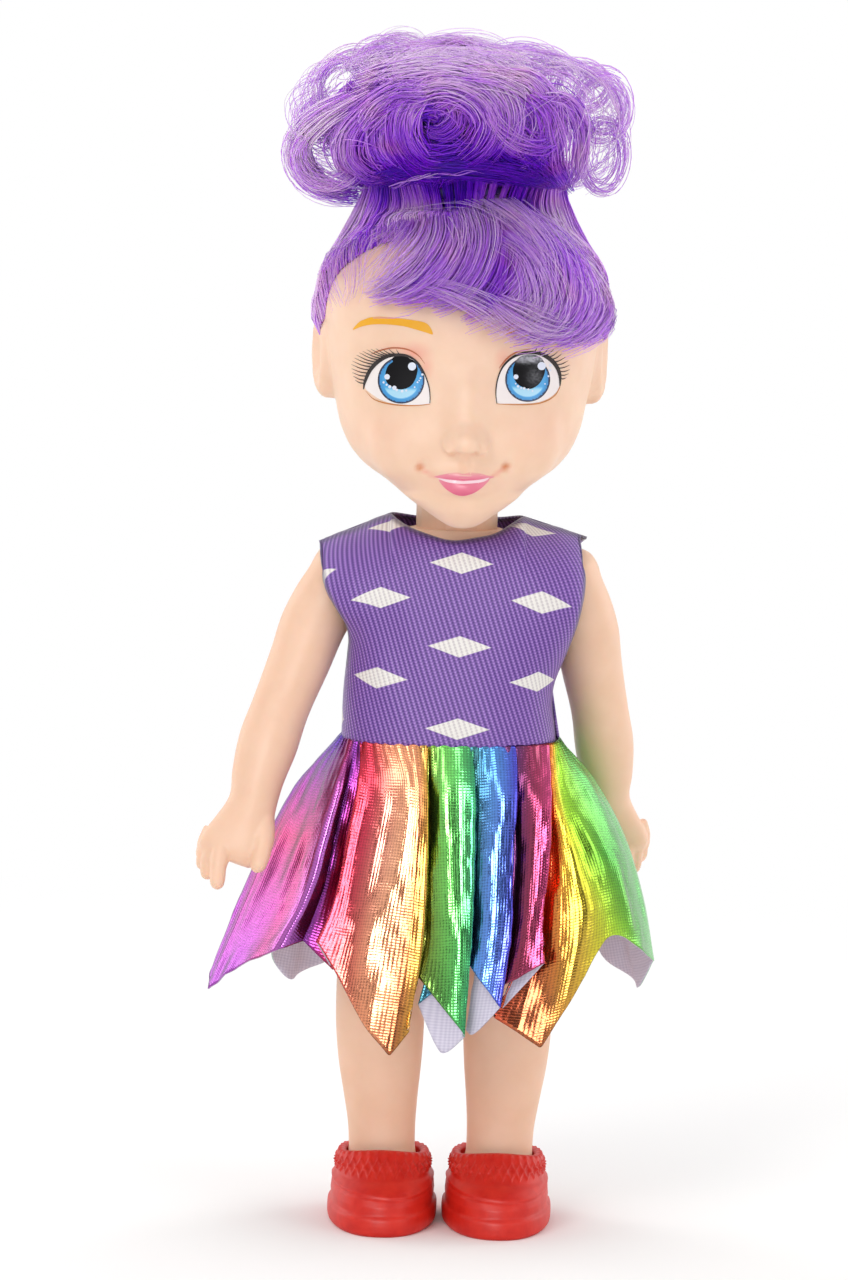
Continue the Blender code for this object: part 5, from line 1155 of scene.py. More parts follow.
# brightness is partly each lock's own tone and partly painted shade: the locks at the crease and deep in the
# swirl are the darkest
bunLocks = (  # guide line in the front view, width, strands, brightness, how far it stands out
    (((-16.1, 170.5), (-21.4, 167.2), (-24.6, 163.5), (-23.5, 159.6), (-19.7, 157.4), (-15.4, 157.0)), 1.7,
     130, 0.62, 0.4),
    (((-13.0, 171.7), (-18.6, 167.9), (-22.0, 164.3), (-21.2, 160.4), (-17.6, 157.8), (-14.0, 158.3)), 1.8,
     150, 0.50, 0.0),
    (((-9.4, 172.5), (-13.6, 169.5), (-17.1, 165.5), (-17.4, 161.5), (-14.8, 159.1), (-11.9, 158.8)), 2.0,
     160, 0.58, 0.5),
    (((-6.6, 173.6), (-10.1, 170.7), (-12.5, 167.0), (-12.4, 163.1), (-9.8, 160.6), (-7.3, 160.4)), 2.0, 170,
     0.46, 0.3),
    (((-3.0, 174.4), (-6.9, 171.8), (-9.3, 168.2), (-9.2, 164.6), (-6.6, 161.4), (-3.4, 161.0)), 2.0, 160,
     0.54, 0.9),
    (((-13.1, 177.7), (-18.4, 177.2), (-21.6, 173.2), (-21.2, 169.6), (-18.6, 167.9)), 1.0, 64, 0.72, 0.0),
    (((-14.5, 175.2), (-17.4, 175.8), (-19.5, 173.6), (-19.3, 170.4), (-16.8, 169.8)), 0.8, 46, 0.55, 0.2),
    (((-16.3, 176.6), (-12.1, 179.8), (-8.2, 179.9), (-5.3, 177.6)), 0.8, 36, 0.82, 0.2),
    (((-8.1, 176.8), (-5.3, 179.2), (-1.7, 179.2), (0.4, 177.2)), 0.9, 46, 0.8, 0.2),
    (((-12.0, 174.2), (-6.7, 176.6), (-0.2, 176.4), (5.2, 174.2), (7.8, 170.4)), 1.8, 150, 0.72, 0.3),
    (((-13.7, 172.0), (-8.0, 174.8), (-0.9, 174.6), (4.2, 171.8), (6.1, 167.5), (4.4, 163.5)), 1.8, 150, 0.64,
     0.9),
    (((-9.4, 170.7), (-3.7, 172.6), (1.3, 171.0), (3.6, 167.4), (2.2, 163.8), (-0.6, 161.6)), 1.8, 150, 0.52,
     1.2),
    (((-5.0, 169.0), (-1.5, 170.5), (1.4, 168.8), (1.8, 166.3), (0.1, 164.5), (-2.1, 165.5)), 1.2, 90, 0.22,
     0.6),
    (((4.1, 175.0), (9.1, 174.4), (12.0, 171.2), (12.5, 167.0), (10.1, 163.0), (7.3, 161.5)), 1.8, 150, 0.66,
     0.7),
    (((7.7, 172.2), (11.4, 169.4), (12.6, 165.2), (13.4, 160.9), (15.3, 158.1)), 1.6, 130, 0.50, 0.9),
    (((6.0, 168.6), (8.3, 165.1), (10.9, 161.9), (13.8, 159.5), (15.7, 157.2)), 1.4, 110, 0.36, 0.7),
    (((3.6, 165.7), (6.2, 162.9), (9.4, 161.5), (12.3, 160.1)), 1.2, 90, 0.20, 0.3),
    (((10.5, 174.8), (14.8, 174.6), (18.0, 171.8), (19.4, 167.9), (18.2, 163.2), (16.0, 159.9)), 1.6, 120,
     0.62, 0.4),
    (((12.3, 173.0), (17.0, 172.4), (20.8, 169.0), (22.0, 164.4), (20.6, 160.2), (17.8, 157.4)), 1.2, 76,
     0.70, 0.2),
    (((11.2, 175.9), (15.8, 176.3), (19.6, 174.0), (22.2, 169.0), (22.6, 164.7)), 0.9, 50, 0.80, 0.2),
    (((9.2, 171.2), (14.5, 171.3), (17.5, 167.1), (17.3, 161.7), (16.0, 158.1)), 1.6, 120, 0.48, 0.8),
    (((-13.4, 159.0), (-7.7, 160.4), (-0.6, 160.9), (6.2, 160.4), (11.6, 158.9), (15.3, 157.4)), 1.0, 220,
     0.06, 0.5),
    (((-12.4, 158.0), (-7.0, 159.2), (-0.6, 159.7), (6.0, 159.2), (12.6, 157.6)), 0.9, 160, 0.04, -1.2),
    (((-19.1, 175.1), (-13.1, 177.0), (-6.0, 177.6), (1.2, 177.0), (7.6, 175.4)), 1.2, 70, 0.84, 0.3),
    (((-17.3, 173.0), (-11.3, 174.9), (-3.8, 175.8), (2.7, 174.6)), 1.3, 90, 0.76, 0.5),
    (((-1.2, 173.8), (4.1, 173.5), (8.8, 171.2), (10.7, 167.6)), 1.4, 100, 0.70, 1.2),
    (((-23.9, 164.9), (-24.6, 160.9), (-21.6, 157.4), (-17.6, 156.4)), 0.8, 44, 0.74, 0.2),
    (((5.0, 176.6), (9.0, 178.2), (14.0, 177.4), (17.0, 174.0)), 0.9, 40, 0.8, 0.2),
    # two thin pale strands along the crease: a painted glint on the elastic's thread
    (((-11.6, 157.4), (-9.0, 158.6), (-6.2, 159.4), (-3.6, 159.8)), 0.12, 6, 1.3, 2.2),
    (((-5.0, 159.6), (-1.0, 160.1), (3.0, 160.3)), 0.16, 3, 1.1, 2.2),
    (((-8.8, 170.6), (-5.6, 171.2), (-2.4, 170.0), (-1.8, 167.5), (-4.0, 165.8), (-6.5, 166.6)), 1.5, 130,
     0.42, 0.2),
    (((-8.2, 163.9), (-5.0, 162.8), (-1.2, 163.4), (1.8, 165.6)), 1.3, 110, 0.34, 0.3),
    (((-7.8, 168.4), (-5.6, 169.0), (-3.6, 168.0), (-3.8, 166.4)), 1.2, 100, 0.24, -0.3),
    (((2.6, 170.0), (4.4, 167.2), (7.6, 164.8), (10.8, 164.2), (13.0, 165.2)), 1.4, 110, 0.56, 1.3),
    (((-15.5, 166.0), (-13.0, 169.2), (-9.6, 171.0), (-5.4, 171.4)), 1.5, 110, 0.60, 1.2),
    (((-10.6, 175.6), (-6.0, 178.6), (1.0, 179.4), (6.0, 177.6), (9.0, 174.0)), 1.4, 60, 0.7, 0.0),
    (((-16.0, 171.0), (-12.0, 174.6), (-7.0, 176.6), (-3.0, 178.9), (1.0, 179.9)), 1.3, 60, 0.7, 0.3),
)


bunGaps = ((-19.6, 174.6, 1.5, 2.3), (13.4, 174.2, 1.3, 1.6), (20.0, 168.4, 2.2, 3.6),
           (-21.6, 162.6, 1.6, 1.5))


def throughGap(line):
    # loose loops stay open where one sees through them
    return any(np.any(((line[:, 0] - x) / wide) ** 2 + ((line[:, 2] - z) / high) ** 2 < 1) for x, z, wide,
               high in bunGaps)


def makeBun():
    rows, columns = 26, 72
    rise = np.linspace(-84, 88, rows)
    a = np.linspace(0, 2 * math.pi, columns, endpoint=False)
    points = bunPlace(np.tile(a, rows), np.repeat(rise, columns), 1.0, bunCore)
    points = np.concatenate((points, bunPlace([0.0], [-90], 1.0, bunCore),
                             bunPlace([0.0], [90], 1.0, bunCore)))
    last = rows * columns
    faces = gridFaces(rows, columns, True).tolist()
    faces += rim(0, columns, last, False) + rim(rows - 1, columns, last + 1, True)
    core = addMesh("topknotCore", turnHead(points), faces, shadedHairUnderlay)
    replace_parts(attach(core, "head"), "bun")

    steps = 17
    run = np.linspace(0, 1, steps)
    lines, thick, tone = [], [], []
    for k, (guide, width, count, bright, stand) in enumerate(bunLocks):
        path, normal = guideFrame(guide)
        for _ in range(count):
            spread, depth = rng.normal(0, 0.6), rng.uniform(-1.1, 0.9)
            start, end = rng.uniform(0, 0.16), rng.uniform(0.78, 1.0)
            flat, side = readGuide(path, normal, (start + (end - start) * run) * 59)
            fan = 0.45 + 0.75 * np.sin(math.pi * (0.15 + 0.7 * run)) + 0.25 * rng.uniform() * run
            curl = 0.25 * np.sin(run * rng.uniform(4, 9) + rng.uniform(0, 6.28))
            flat = flat + side * (spread * width * fan + curl)[:, None]
            y = bunFront(flat[:, 0], flat[:, 1]) - stand - depth - 0.4 * np.sin(run * 5 + k)
            line = np.stack((flat[:, 0], y, flat[:, 1]), axis=1)
            if throughGap(line) and rng.uniform() < 0.93:
                continue
            lines.append(line)
            thick.append((0.62 if count < 80 else 1.0) * rng.uniform(0.7, 1.1) * (1 - 0.45 * run**2))
            # outer strands paler than inner ones: painted shade on the inner strands
            tone.append(bunLightAndShade(flat[:, 0], flat[:, 1]) + 0.7 * (bright - 0.55) + 0.13 * depth
                        + rng.normal(0, 0.10)
                        + 0.10 * np.sin(run * 5 + k * 1.7))
    strands("topknotFront", np.array(lines), np.array(thick), np.array(tone), "head", 0.1)

    # curls all round: a dense inner shell and an airy outer one
    steps, lines, thick, tone = 13, [], [], []
    run = np.linspace(0, 1, steps)
    for lock in range(214):
        outer = lock % 5 < 2
        azimuth = rng.uniform(0.8, 2 * math.pi - 0.8) if outer else rng.uniform(0, 2 * math.pi)
        rise = rng.uniform(-58, 72)
        heading = rng.uniform(-1.2, 1.2) - math.pi / 2 * rng.choice((1.0, 1.0, 0.3))
        bend = rng.uniform(1.2, 3.4) * rng.choice((-1, 1))
        length = rng.uniform(10, 20)
        own = rng.normal(0, 0.1)
        stand = rng.uniform(0.86, 1.02) if outer else rng.uniform(1.0, 1.1)
        across = math.sin(azimuth)
        airy = outer and (across > 0.62 or (across < -0.7 and rise > 10) or rise > 40)
        for _ in range((8 if airy else 22) if outer else 26):
            angle = heading + bend * run + rng.normal(0, 0.08)
            onward = np.concatenate(([0], np.cumsum(np.cos(angle[:-1])))) * length / steps
            upward = np.concatenate(([0], np.cumsum(np.sin(angle[:-1])))) * length / steps
            offset = rng.normal(0, 0.9)
            aLine = azimuth + (onward - np.sin(angle) * offset) / 20
            rLine = rise + (upward + np.cos(angle) * offset) * 4.2
            swell = stand + rng.normal(0, 0.02) - 0.05 * np.abs(run - 0.5)
            line = bunPlace(aLine, np.clip(rLine, -84, 89), swell, bun if outer else bunCore)
            if throughGap(line) and rng.uniform() < 0.95:
                continue
            lines.append(line)
            thick.append((0.6 if airy else rng.uniform(0.7, 1.1)) * (1 - 0.4 * run))
            tone.append(bunLightAndShade(line[:, 0], line[:, 2]) + own + rng.normal(0, 0.1) + 0.1 * np.sin(4 * run))
    strands("topknotCurls", turnHead(np.array(lines)), np.array(thick), np.array(tone), "head", 0.11)


def makeLoops():
    # loose rings of hair at both sides and fly-away hairs
    steps = 18
    run = np.linspace(0, 1, steps)
    rings = (  # centre in the front view, radii, depth, count
        (-18.9, 172.6, 3.4, 3.8, -4, 42), (-20.6, 161.8, 4.6, 4.2, -6, 46), (20.2, 170.4, 3.6, 4.4, -3, 46),
        (20.6, 163.4, 3.2, 5.2, -2, 46), (16.8, 173.6, 4.0, 3.2, 3, 34), (-12.0, 177.0, 4.2, 2.4, -2, 30),
        (-3.0, 178.0, 4.0, 2.2, 0, 26), (7.5, 176.6, 4.4, 2.6, 2, 28), (-22.0, 167.0, 2.8, 3.4, 0, 30),
    )
    lines, thick, tone = [], [], []
    for x, z, width, height, depth, count in rings:
        for _ in range(count):
            start, span = rng.uniform(0, 6.28), rng.uniform(2.6, 5.6) * rng.choice((-1, 1))
            size = rng.normal(1, 0.13)
            angle = start + span * run
            drift = rng.normal(0, 0.5, 2)
            lines.append(np.stack((x + drift[0] + width * size * np.cos(angle), depth + rng.normal(0, 1.3)
                                   + 1.5 * np.sin(run * 3),
                                   z + drift[1] + height * size * np.sin(angle)), axis=1))
            thick.append(np.full(steps, rng.uniform(0.4, 0.8)))
            tone.append(0.74 + rng.normal(0, 0.12) + 0.1 * np.sin(3 * run))
    for _ in range(520):
        azimuth, rise = rng.uniform(0, 2 * math.pi), rng.uniform(-50, 85)
        span, lift = rng.uniform(20, 70), rng.uniform(0.02, 0.12)
        aLine = azimuth + rng.uniform(-0.8, 0.8) * run
        rLine = rise + span * (run - 0.5) * rng.choice((-1, 1))
        line = turnHead(bunPlace(aLine, np.clip(rLine, -80, 90), 0.99 + lift * np.sin(math.pi * run)))
        if line[:, 2].min() < 163 and line[:, 1].min() < -4:
            continue
        lines.append(line)
        thick.append(np.full(steps, rng.uniform(0.3, 0.55)))
        tone.append(np.full(steps, 0.8 + rng.normal(0, 0.12)))
    strands("looseHair", np.array(lines), np.array(thick), np.array(tone), "head", 0.1)


makeBun()
makeLoops()


# Bodice: the same surface as the solid's, finer, with a knitted and printed finish

waistZ, torsoTop = 74.5, 106.5
bodiceHalf, bodiceDepth, shoulderDepth, neckHalf, neckDepth = 16.2, 12.0, 7.1, 10.0, 8.4
knitThickness = 0.42
rightEdge = ((0.0, 1.01), (0.25, 1.00), (0.42, 0.975), (0.53, 0.965), (0.60, 0.99), (0.66, 1.05),
             (0.77, 1.17), (0.9, 1.25), (1.0, 1.28))
leftEdge = ((0.0, 0.96), (0.27, 0.93), (0.42, 1.03), (0.62, 1.14), (0.8, 1.19), (0.92, 1.18), (1.0, 1.16))
backEdge = ((0.0, 1.00), (0.18, 0.94), (0.32, 0.90), (0.72, 0.90), (0.86, 1.00), (1.0, 1.22))


def armholeBulge(t, start):
    rising = shoulderDepth * ease((t - start) / (0.70 - start))
    falling = shoulderDepth * np.sqrt(np.maximum(1 - ((t - 0.70) / 0.30) ** 2, 0))
    return np.where(t < 0.70, rising, falling)


# inner face of the bodice; share runs from -1 at the right edge to 1 at the left
def bodicePoint(share, t, front):
    right = share < 0
    if front:
        width = bodiceHalf * np.where(right, smoothTable(t, rightEdge), smoothTable(t, leftEdge))
        start = np.where(right, 0.41, 0.30)
        topX = share * bodiceHalf * np.where(right, 1.28, 1.16)
        centreZ = torsoTop - 1.5
    else:
        width = bodiceHalf * smoothTable(t, backEdge)
        start, topX, centreZ = 0.34, share * bodiceHalf * 1.22, torsoTop + 0.3
    tipZ = np.where(right, torsoTop - 2.8, torsoTop - 1.5)
    neck = np.abs(topX) / neckHalf
    pointZ = torsoTop + 1.7
    slope = (np.abs(topX) - neckHalf) / (bodiceHalf * 1.28 - neckHalf)
    topZ = np.where(neck < 1, centreZ + (pointZ - centreZ) * neck**2, pointZ + (tipZ - pointZ) * slope)
    topDepth = np.where(neck < 1, neckDepth * np.sqrt(np.maximum(1 - neck**2, 0)), 0)
    z = waistZ + (topZ - waistZ) * t
    bulge = armholeBulge(t, start)
    body = bulge + (bodiceDepth - bulge) * np.maximum(1 - np.abs(share) ** 2.6, 0) ** (1 / 2.6)
    fall = np.sqrt(np.maximum(1 - ((t - 0.62) / 0.38) ** 2, 0))
    body = np.where((t > 0.62) & (np.abs(share) < 1), topDepth + (body - topDepth) * fall,
                    np.where(t > 0.62, bulge, body))
    depth = np.maximum(body, 0.2)
    return np.stack((share * width, -depth if front else depth, z), axis=-1)


# a closed thin cloth from an open grid; cloth says where on the flat cloth each place lies
def clothObject(name, grid, thickness, material, cloth, edge=None):
    points, back, front, rim = slabOf(grid, grid + gridNormals(grid) * thickness)
    obj = addMesh(name, points, back + front + rim, material)
    setValues(obj, "cloth", np.tile(cloth.reshape(-1, 3), (2, 1)), "FLOAT_VECTOR")
    if edge is not None:
        setValues(obj, "edge", np.tile(edge.ravel(), 2))
    return obj


# cloth height of each place of a panel: its length up from the waist
def climbed(grid, start):
    steps = np.linalg.norm(np.diff(grid, axis=0), axis=-1)
    return start + np.concatenate((np.zeros((1, grid.shape[1])), np.cumsum(steps, axis=0)))


def makeBodice():
    rows, shares = 84, np.linspace(-1, 1, 121)
    t = 1 - (1 - np.linspace(0, 1, rows)) ** 1.3
    share, height = np.meshgrid(shares, t)
    grid = bodicePoint(share, height, True)
    x, z = grid[..., 0], grid[..., 2]
    sag = 0.10 * np.sin(x * 0.9 + z * 0.35) * ease((z - 76) / 6) * ease((1 - np.abs(share)) / 0.2)
    grid = grid + gridNormals(grid) * sag[..., None]
    around = np.concatenate((np.zeros((rows, 1)), np.cumsum(np.linalg.norm(np.diff(grid, axis=1), axis=-1),
                                                            axis=1)), axis=1)
    middle = np.argmin(np.abs(shares))
    u = around - around[:, middle:middle + 1] + x[:, middle:middle + 1]
    edgeSide = ease((np.abs(share) - 0.965) / 0.03) * (height > 0.36)
    edgeTop = ease((height - 0.975) / 0.02)
    cloth = np.stack((u, climbed(grid, waistZ), np.zeros_like(z)), axis=-1)
    edge = np.clip(np.maximum(edgeSide, edgeTop) * 0.75, 0, 1)
    front = clothObject("bodiceFront", grid, knitThickness, knit, cloth, edge)
    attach(front, "torso")
    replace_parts(front, "bodice_front")


makeBodice()
print("bodice done")


# Skirt: pleat lines in millimetres, from the waist to the hem, in the order in which the cloth runs round.
# Where a line lies left of the one before, the cloth folds back behind the pleat and shows its reverse.

dyes = {
    "violet": (66, 0, 168), "plum": (116, 0, 140), "magenta": (166, 20, 96), "orchid": (160, 60, 178),
    "rose": (188, 44, 112), "lilac": (178, 94, 188), "crimson": (190, 0, 46), "raspberry": (186, 30, 66),
    "rust": (196, 70, 60), "copper": (238, 156, 110), "peach": (242, 178, 138), "bronze": (200, 112, 52),
    "brown": (166, 84, 34), "ochre": (200, 146, 36), "olive": (108, 128, 12), "leaf": (116, 222, 96),
    "green": (70, 178, 78), "sea": (30, 146, 92), "teal": (16, 100, 110), "sky": (70, 148, 216),
    "blue": (92, 140, 232), "indigo": (60, 56, 192), "grape": (92, 6, 92), "fuchsia": (138, 8, 62),
    "pink": (190, 50, 112), "ember": (204, 70, 26), "gold": (230, 142, 26), "yellow": (214, 202, 28),
    "lime": (160, 218, 34), "mint": (120, 222, 118), "moss": (52, 150, 34),
}
skirtWaist = (16.35, 12.15, 2.6)  # half width, depth and squareness
skirtTop, skirtFall, backReach = 74.75, 40.6, 36.4


def waistDepth(x):
    half, depth, square = skirtWaist
    return depth * max(1 - abs(x / half) ** square, 0) ** (1 / square)


pleatLines = [  # waist x, then x, y, z at a quarter, half and three quarters of the fall and at the hem; dyes
    (-16.3, (-21.7, -0.5, 68.3), (-26.4, -1.0, 58.9), (-31.1, -1.0, 47.4), (-36.2, -0.5, 34.5),
     "violet magenta orchid"),
    (-16.1, (-18.9, -7.0, 69.0), (-22.2, -8.5, 59.6), (-25.9, -8.5, 49.3), (-31.1, -7.0, 39.8),
     "violet magenta orchid"),
    (-15.7, (-17.7, -10.0, 69.0), (-20.3, -12.0, 60.3), (-23.2, -12.2, 50.9), (-28.0, -11.5, 41.6),
     "plum magenta magenta"),
    (-15.0, (-16.3, -12.5, 69.1), (-18.4, -14.5, 61.1), (-20.8, -15.5, 52.5), (-25.2, -15.5, 43.6),
     "rose lilac lilac"),
    (-14.4, (-15.6, -10.8, 68.3), (-17.3, -12.0, 60.2), (-19.0, -13.0, 52.1), (-21.5, -13.2, 44.7), "plum"),
    (-13.2, (-13.4, -10.6, 68.2), (-14.6, -11.6, 60.0), (-15.8, -12.6, 51.5), (-16.7, -13.0, 40.2),
     "plum crimson crimson"),
    (-13.6, (-13.6, -12.8, 68.2), (-15.3, -14.4, 59.7), (-17.0, -15.9, 50.7), (-19.2, -16.6, 45.2),
     "crimson crimson raspberry"),
    (-11.5, (-10.6, -13.6, 68.3), (-12.0, -15.2, 59.0), (-13.6, -16.4, 48.5), (-15.6, -17.6, 39.5),
     "crimson raspberry rust"),
    # on this crest the copper foil turns peach at mid fall: painted highlight
    (-8.6, (-6.8, -15.0, 68.3), (-8.0, -17.0, 58.0), (-10.6, -18.3, 45.6), (-12.2, -19.3, 33.4),
     "copper peach copper"),
    (-5.6, (-4.5, -15.5, 67.9), (-4.9, -17.6, 57.2), (-5.9, -19.1, 43.9), (-8.0, -20.0, 28.8),
     "copper bronze brown"),
    (-3.6, (-3.4, -15.0, 67.4), (-3.3, -17.2, 57.1), (-3.6, -18.6, 45.8), (-4.9, -19.3, 32.6), "ochre"),
    (-5.0, (-5.4, -13.6, 67.4), (-5.6, -15.4, 57.0), (-6.0, -16.8, 46.5), (-6.5, -17.4, 38.0), "brown"),
    (-3.2, (-3.0, -13.9, 67.4), (-2.8, -15.8, 57.0), (-2.8, -17.2, 47.0), (-3.9, -17.9, 40.4), "olive"),
    (-0.6, (-0.4, -15.6, 68.1), (0.3, -17.5, 58.3), (1.1, -18.8, 46.9), (1.5, -19.8, 34.3),
     "leaf leaf green"),
    (3.3, (3.6, -15.2, 67.6), (3.7, -17.2, 57.3), (3.8, -18.4, 45.9), (3.3, -19.6, 32.0), "sea"),
    (2.9, (2.6, -14.3, 67.4), (2.3, -16.1, 57.0), (1.6, -17.5, 45.0), (0.6, -18.4, 29.0), "teal"),
    (2.5, (2.2, -14.0, 67.4), (1.4, -15.8, 57.0), (0.4, -17.2, 45.5), (-0.8, -18.1, 29.2), "teal"),
    (1.6, (1.4, -13.6, 67.4), (0.2, -15.4, 57.0), (-1.6, -16.7, 46.0), (-3.9, -17.4, 36.2), "teal"),
    (4.0, (4.1, -14.0, 67.5), (4.0, -15.8, 57.4), (3.9, -17.0, 48.0), (3.6, -17.8, 42.6), "teal teal sky"),
    (6.0, (6.8, -15.6, 67.8), (7.0, -17.4, 57.5), (6.8, -18.7, 48.0), (6.0, -19.3, 39.5), "sky blue blue"),
    (9.6, (9.9, -15.0, 67.8), (9.9, -16.9, 57.5), (9.6, -18.3, 47.1), (8.3, -19.4, 36.5), "indigo"),
    (8.6, (8.4, -13.8, 67.6), (7.6, -15.6, 57.2), (6.6, -16.9, 47.0), (4.4, -18.2, 31.6), "grape"),
    (8.0, (7.6, -13.5, 67.6), (6.6, -15.1, 57.2), (5.4, -16.3, 47.5), (3.5, -17.2, 32.5), "grape"),
    (10.0, (10.2, -13.8, 67.7), (10.2, -15.6, 57.3), (9.9, -16.9, 48.5), (8.4, -17.7, 39.2),
     "grape grape fuchsia"),
    (12.2, (12.7, -15.2, 67.9), (12.5, -17.1, 57.6), (12.2, -18.4, 49.6), (11.4, -19.2, 41.2), "fuchsia"),
    (14.7, (15.0, -14.6, 67.8), (15.0, -16.6, 58.5), (14.6, -17.9, 50.0), (14.7, -18.7, 43.2), "pink"),
    (14.0, (14.2, -13.2, 66.7), (13.4, -14.9, 55.8), (11.4, -16.2, 44.7), (7.4, -17.6, 34.6), "ember"),
    (14.6, (14.9, -12.9, 66.4), (14.9, -14.5, 55.6), (13.8, -15.9, 43.8), (11.0, -17.4, 32.4),
     "ember ember brown"),
    (15.1, (15.7, -13.8, 66.3), (16.9, -15.6, 55.5), (16.7, -17.0, 43.6), (14.6, -18.0, 30.2),
     "gold gold brown"),
    (15.4, (16.6, -14.0, 66.4), (19.2, -16.0, 57.6), (21.0, -17.0, 49.6), (19.0, -17.6, 37.6),
     "yellow yellow ochre"),
    (15.7, (16.9, -13.0, 66.7), (20.3, -14.6, 58.3), (22.8, -15.3, 51.7), (23.1, -15.6, 45.8),
     "lime lime yellow"),
    (15.9, (19.1, -12.6, 66.3), (23.1, -13.8, 59.3), (24.5, -13.8, 52.5), (25.4, -13.3, 47.4),
     "lime moss lime"),
    (16.2, (21.6, -9.0, 66.7), (25.6, -10.0, 58.7), (28.3, -9.5, 49.9), (29.9, -8.5, 43.7), "mint moss moss"),
    (16.3, (21.7, -2.0, 68.9), (26.6, -2.0, 60.4), (29.9, -1.0, 50.5), (31.9, 0.0, 40.6), "mint"),
]
frontSplit = 17  # the pleat line hidden behind the green pleat, where the front parts over the two legs


def readPleats(lines):
    places, colours = [], []
    for waistX, quarter, half, low, hem, names in lines:
        places.append(((waistX, -waistDepth(waistX), skirtTop), quarter, half, low, hem))
        colours.append([tint(*dyes[name])[:3] for name in (names.split() * 3)[:3]])
    return np.array(places), np.array(colours)


def backPleats(first, last, hemTable, colourNames):
    # pleat lines of the back, by angle round from the doll's left
    angles = np.arange(first, last + 0.1, 4.5)
    falls = np.interp(angles, *zip(*hemTable))
    reachTable = ((-10, 0.85), (0, 0.865), (12, 0.80), (25, 0.69), (45, 0.55), (90, 0.44), (135, 0.55),
                  (160, 0.80), (172, 0.96),
                  (180, 1.00), (190, 0.97))
    hemReach = backReach * smoothTable(angles, reachTable)
    places, colours = [], []
    half, depth, square = skirtWaist
    for k, (angle, fall, reach) in enumerate(zip(np.radians(angles), falls, hemReach)):
        c, s = math.cos(angle), math.sin(angle)
        around = (abs(c / half) ** square + abs(s / depth) ** square) ** (-1 / square)
        line = []
        for t in (0, 0.25, 0.5, 0.75, 1.0):
            drop = t * fall
            out = around + (reach - around) * drop**0.65 + (0.9 if k % 2
                                                            else -0.9) * t + 1.2 * t * (fall - 0.9) / 0.13
            line.append((out * c, out * s, skirtTop - skirtFall * drop))
        places.append(line)
        names = colourNames[int(k / len(angles) * len(colourNames))].split("-")
        colours.append([tint(*dyes[name])[:3] for name in (names * 3)[:3]])
    return np.array(places), np.array(colours)


# creased folds; the others bend softly
firmLines = (4, 5, 6, 9, 10, 12, 14, 17, 18, 20, 22, 23, 25, 26, 27, 28)


def withCreases(grid, firm):
    # a creased line gets a close neighbour on each side, so that only the fold itself is rounded
    columns = []
    for k in range(grid.shape[1]):
        if k in firm and 0 < k < grid.shape[1] - 1:
            columns += [grid[:, k] + 0.14 * (grid[:, k - 1] - grid[:, k]), grid[:, k], grid[:, k] + 0.14
                        * (grid[:, k + 1] - grid[:, k])]
        else:
            columns.append(grid[:, k])
    return np.stack(columns, axis=1)


def cornersCut(grid):
    # each fold line becomes a soft bend
    first, second = 0.75 * grid[:, :-1] + 0.25 * grid[:, 1:], 0.25 * grid[:, :-1] + 0.75 * grid[:, 1:]
    middle = np.stack((first, second), axis=2).reshape(len(grid), -1, grid.shape[2])
    return np.concatenate((grid[:, :1], middle, grid[:, -1:]), axis=1)


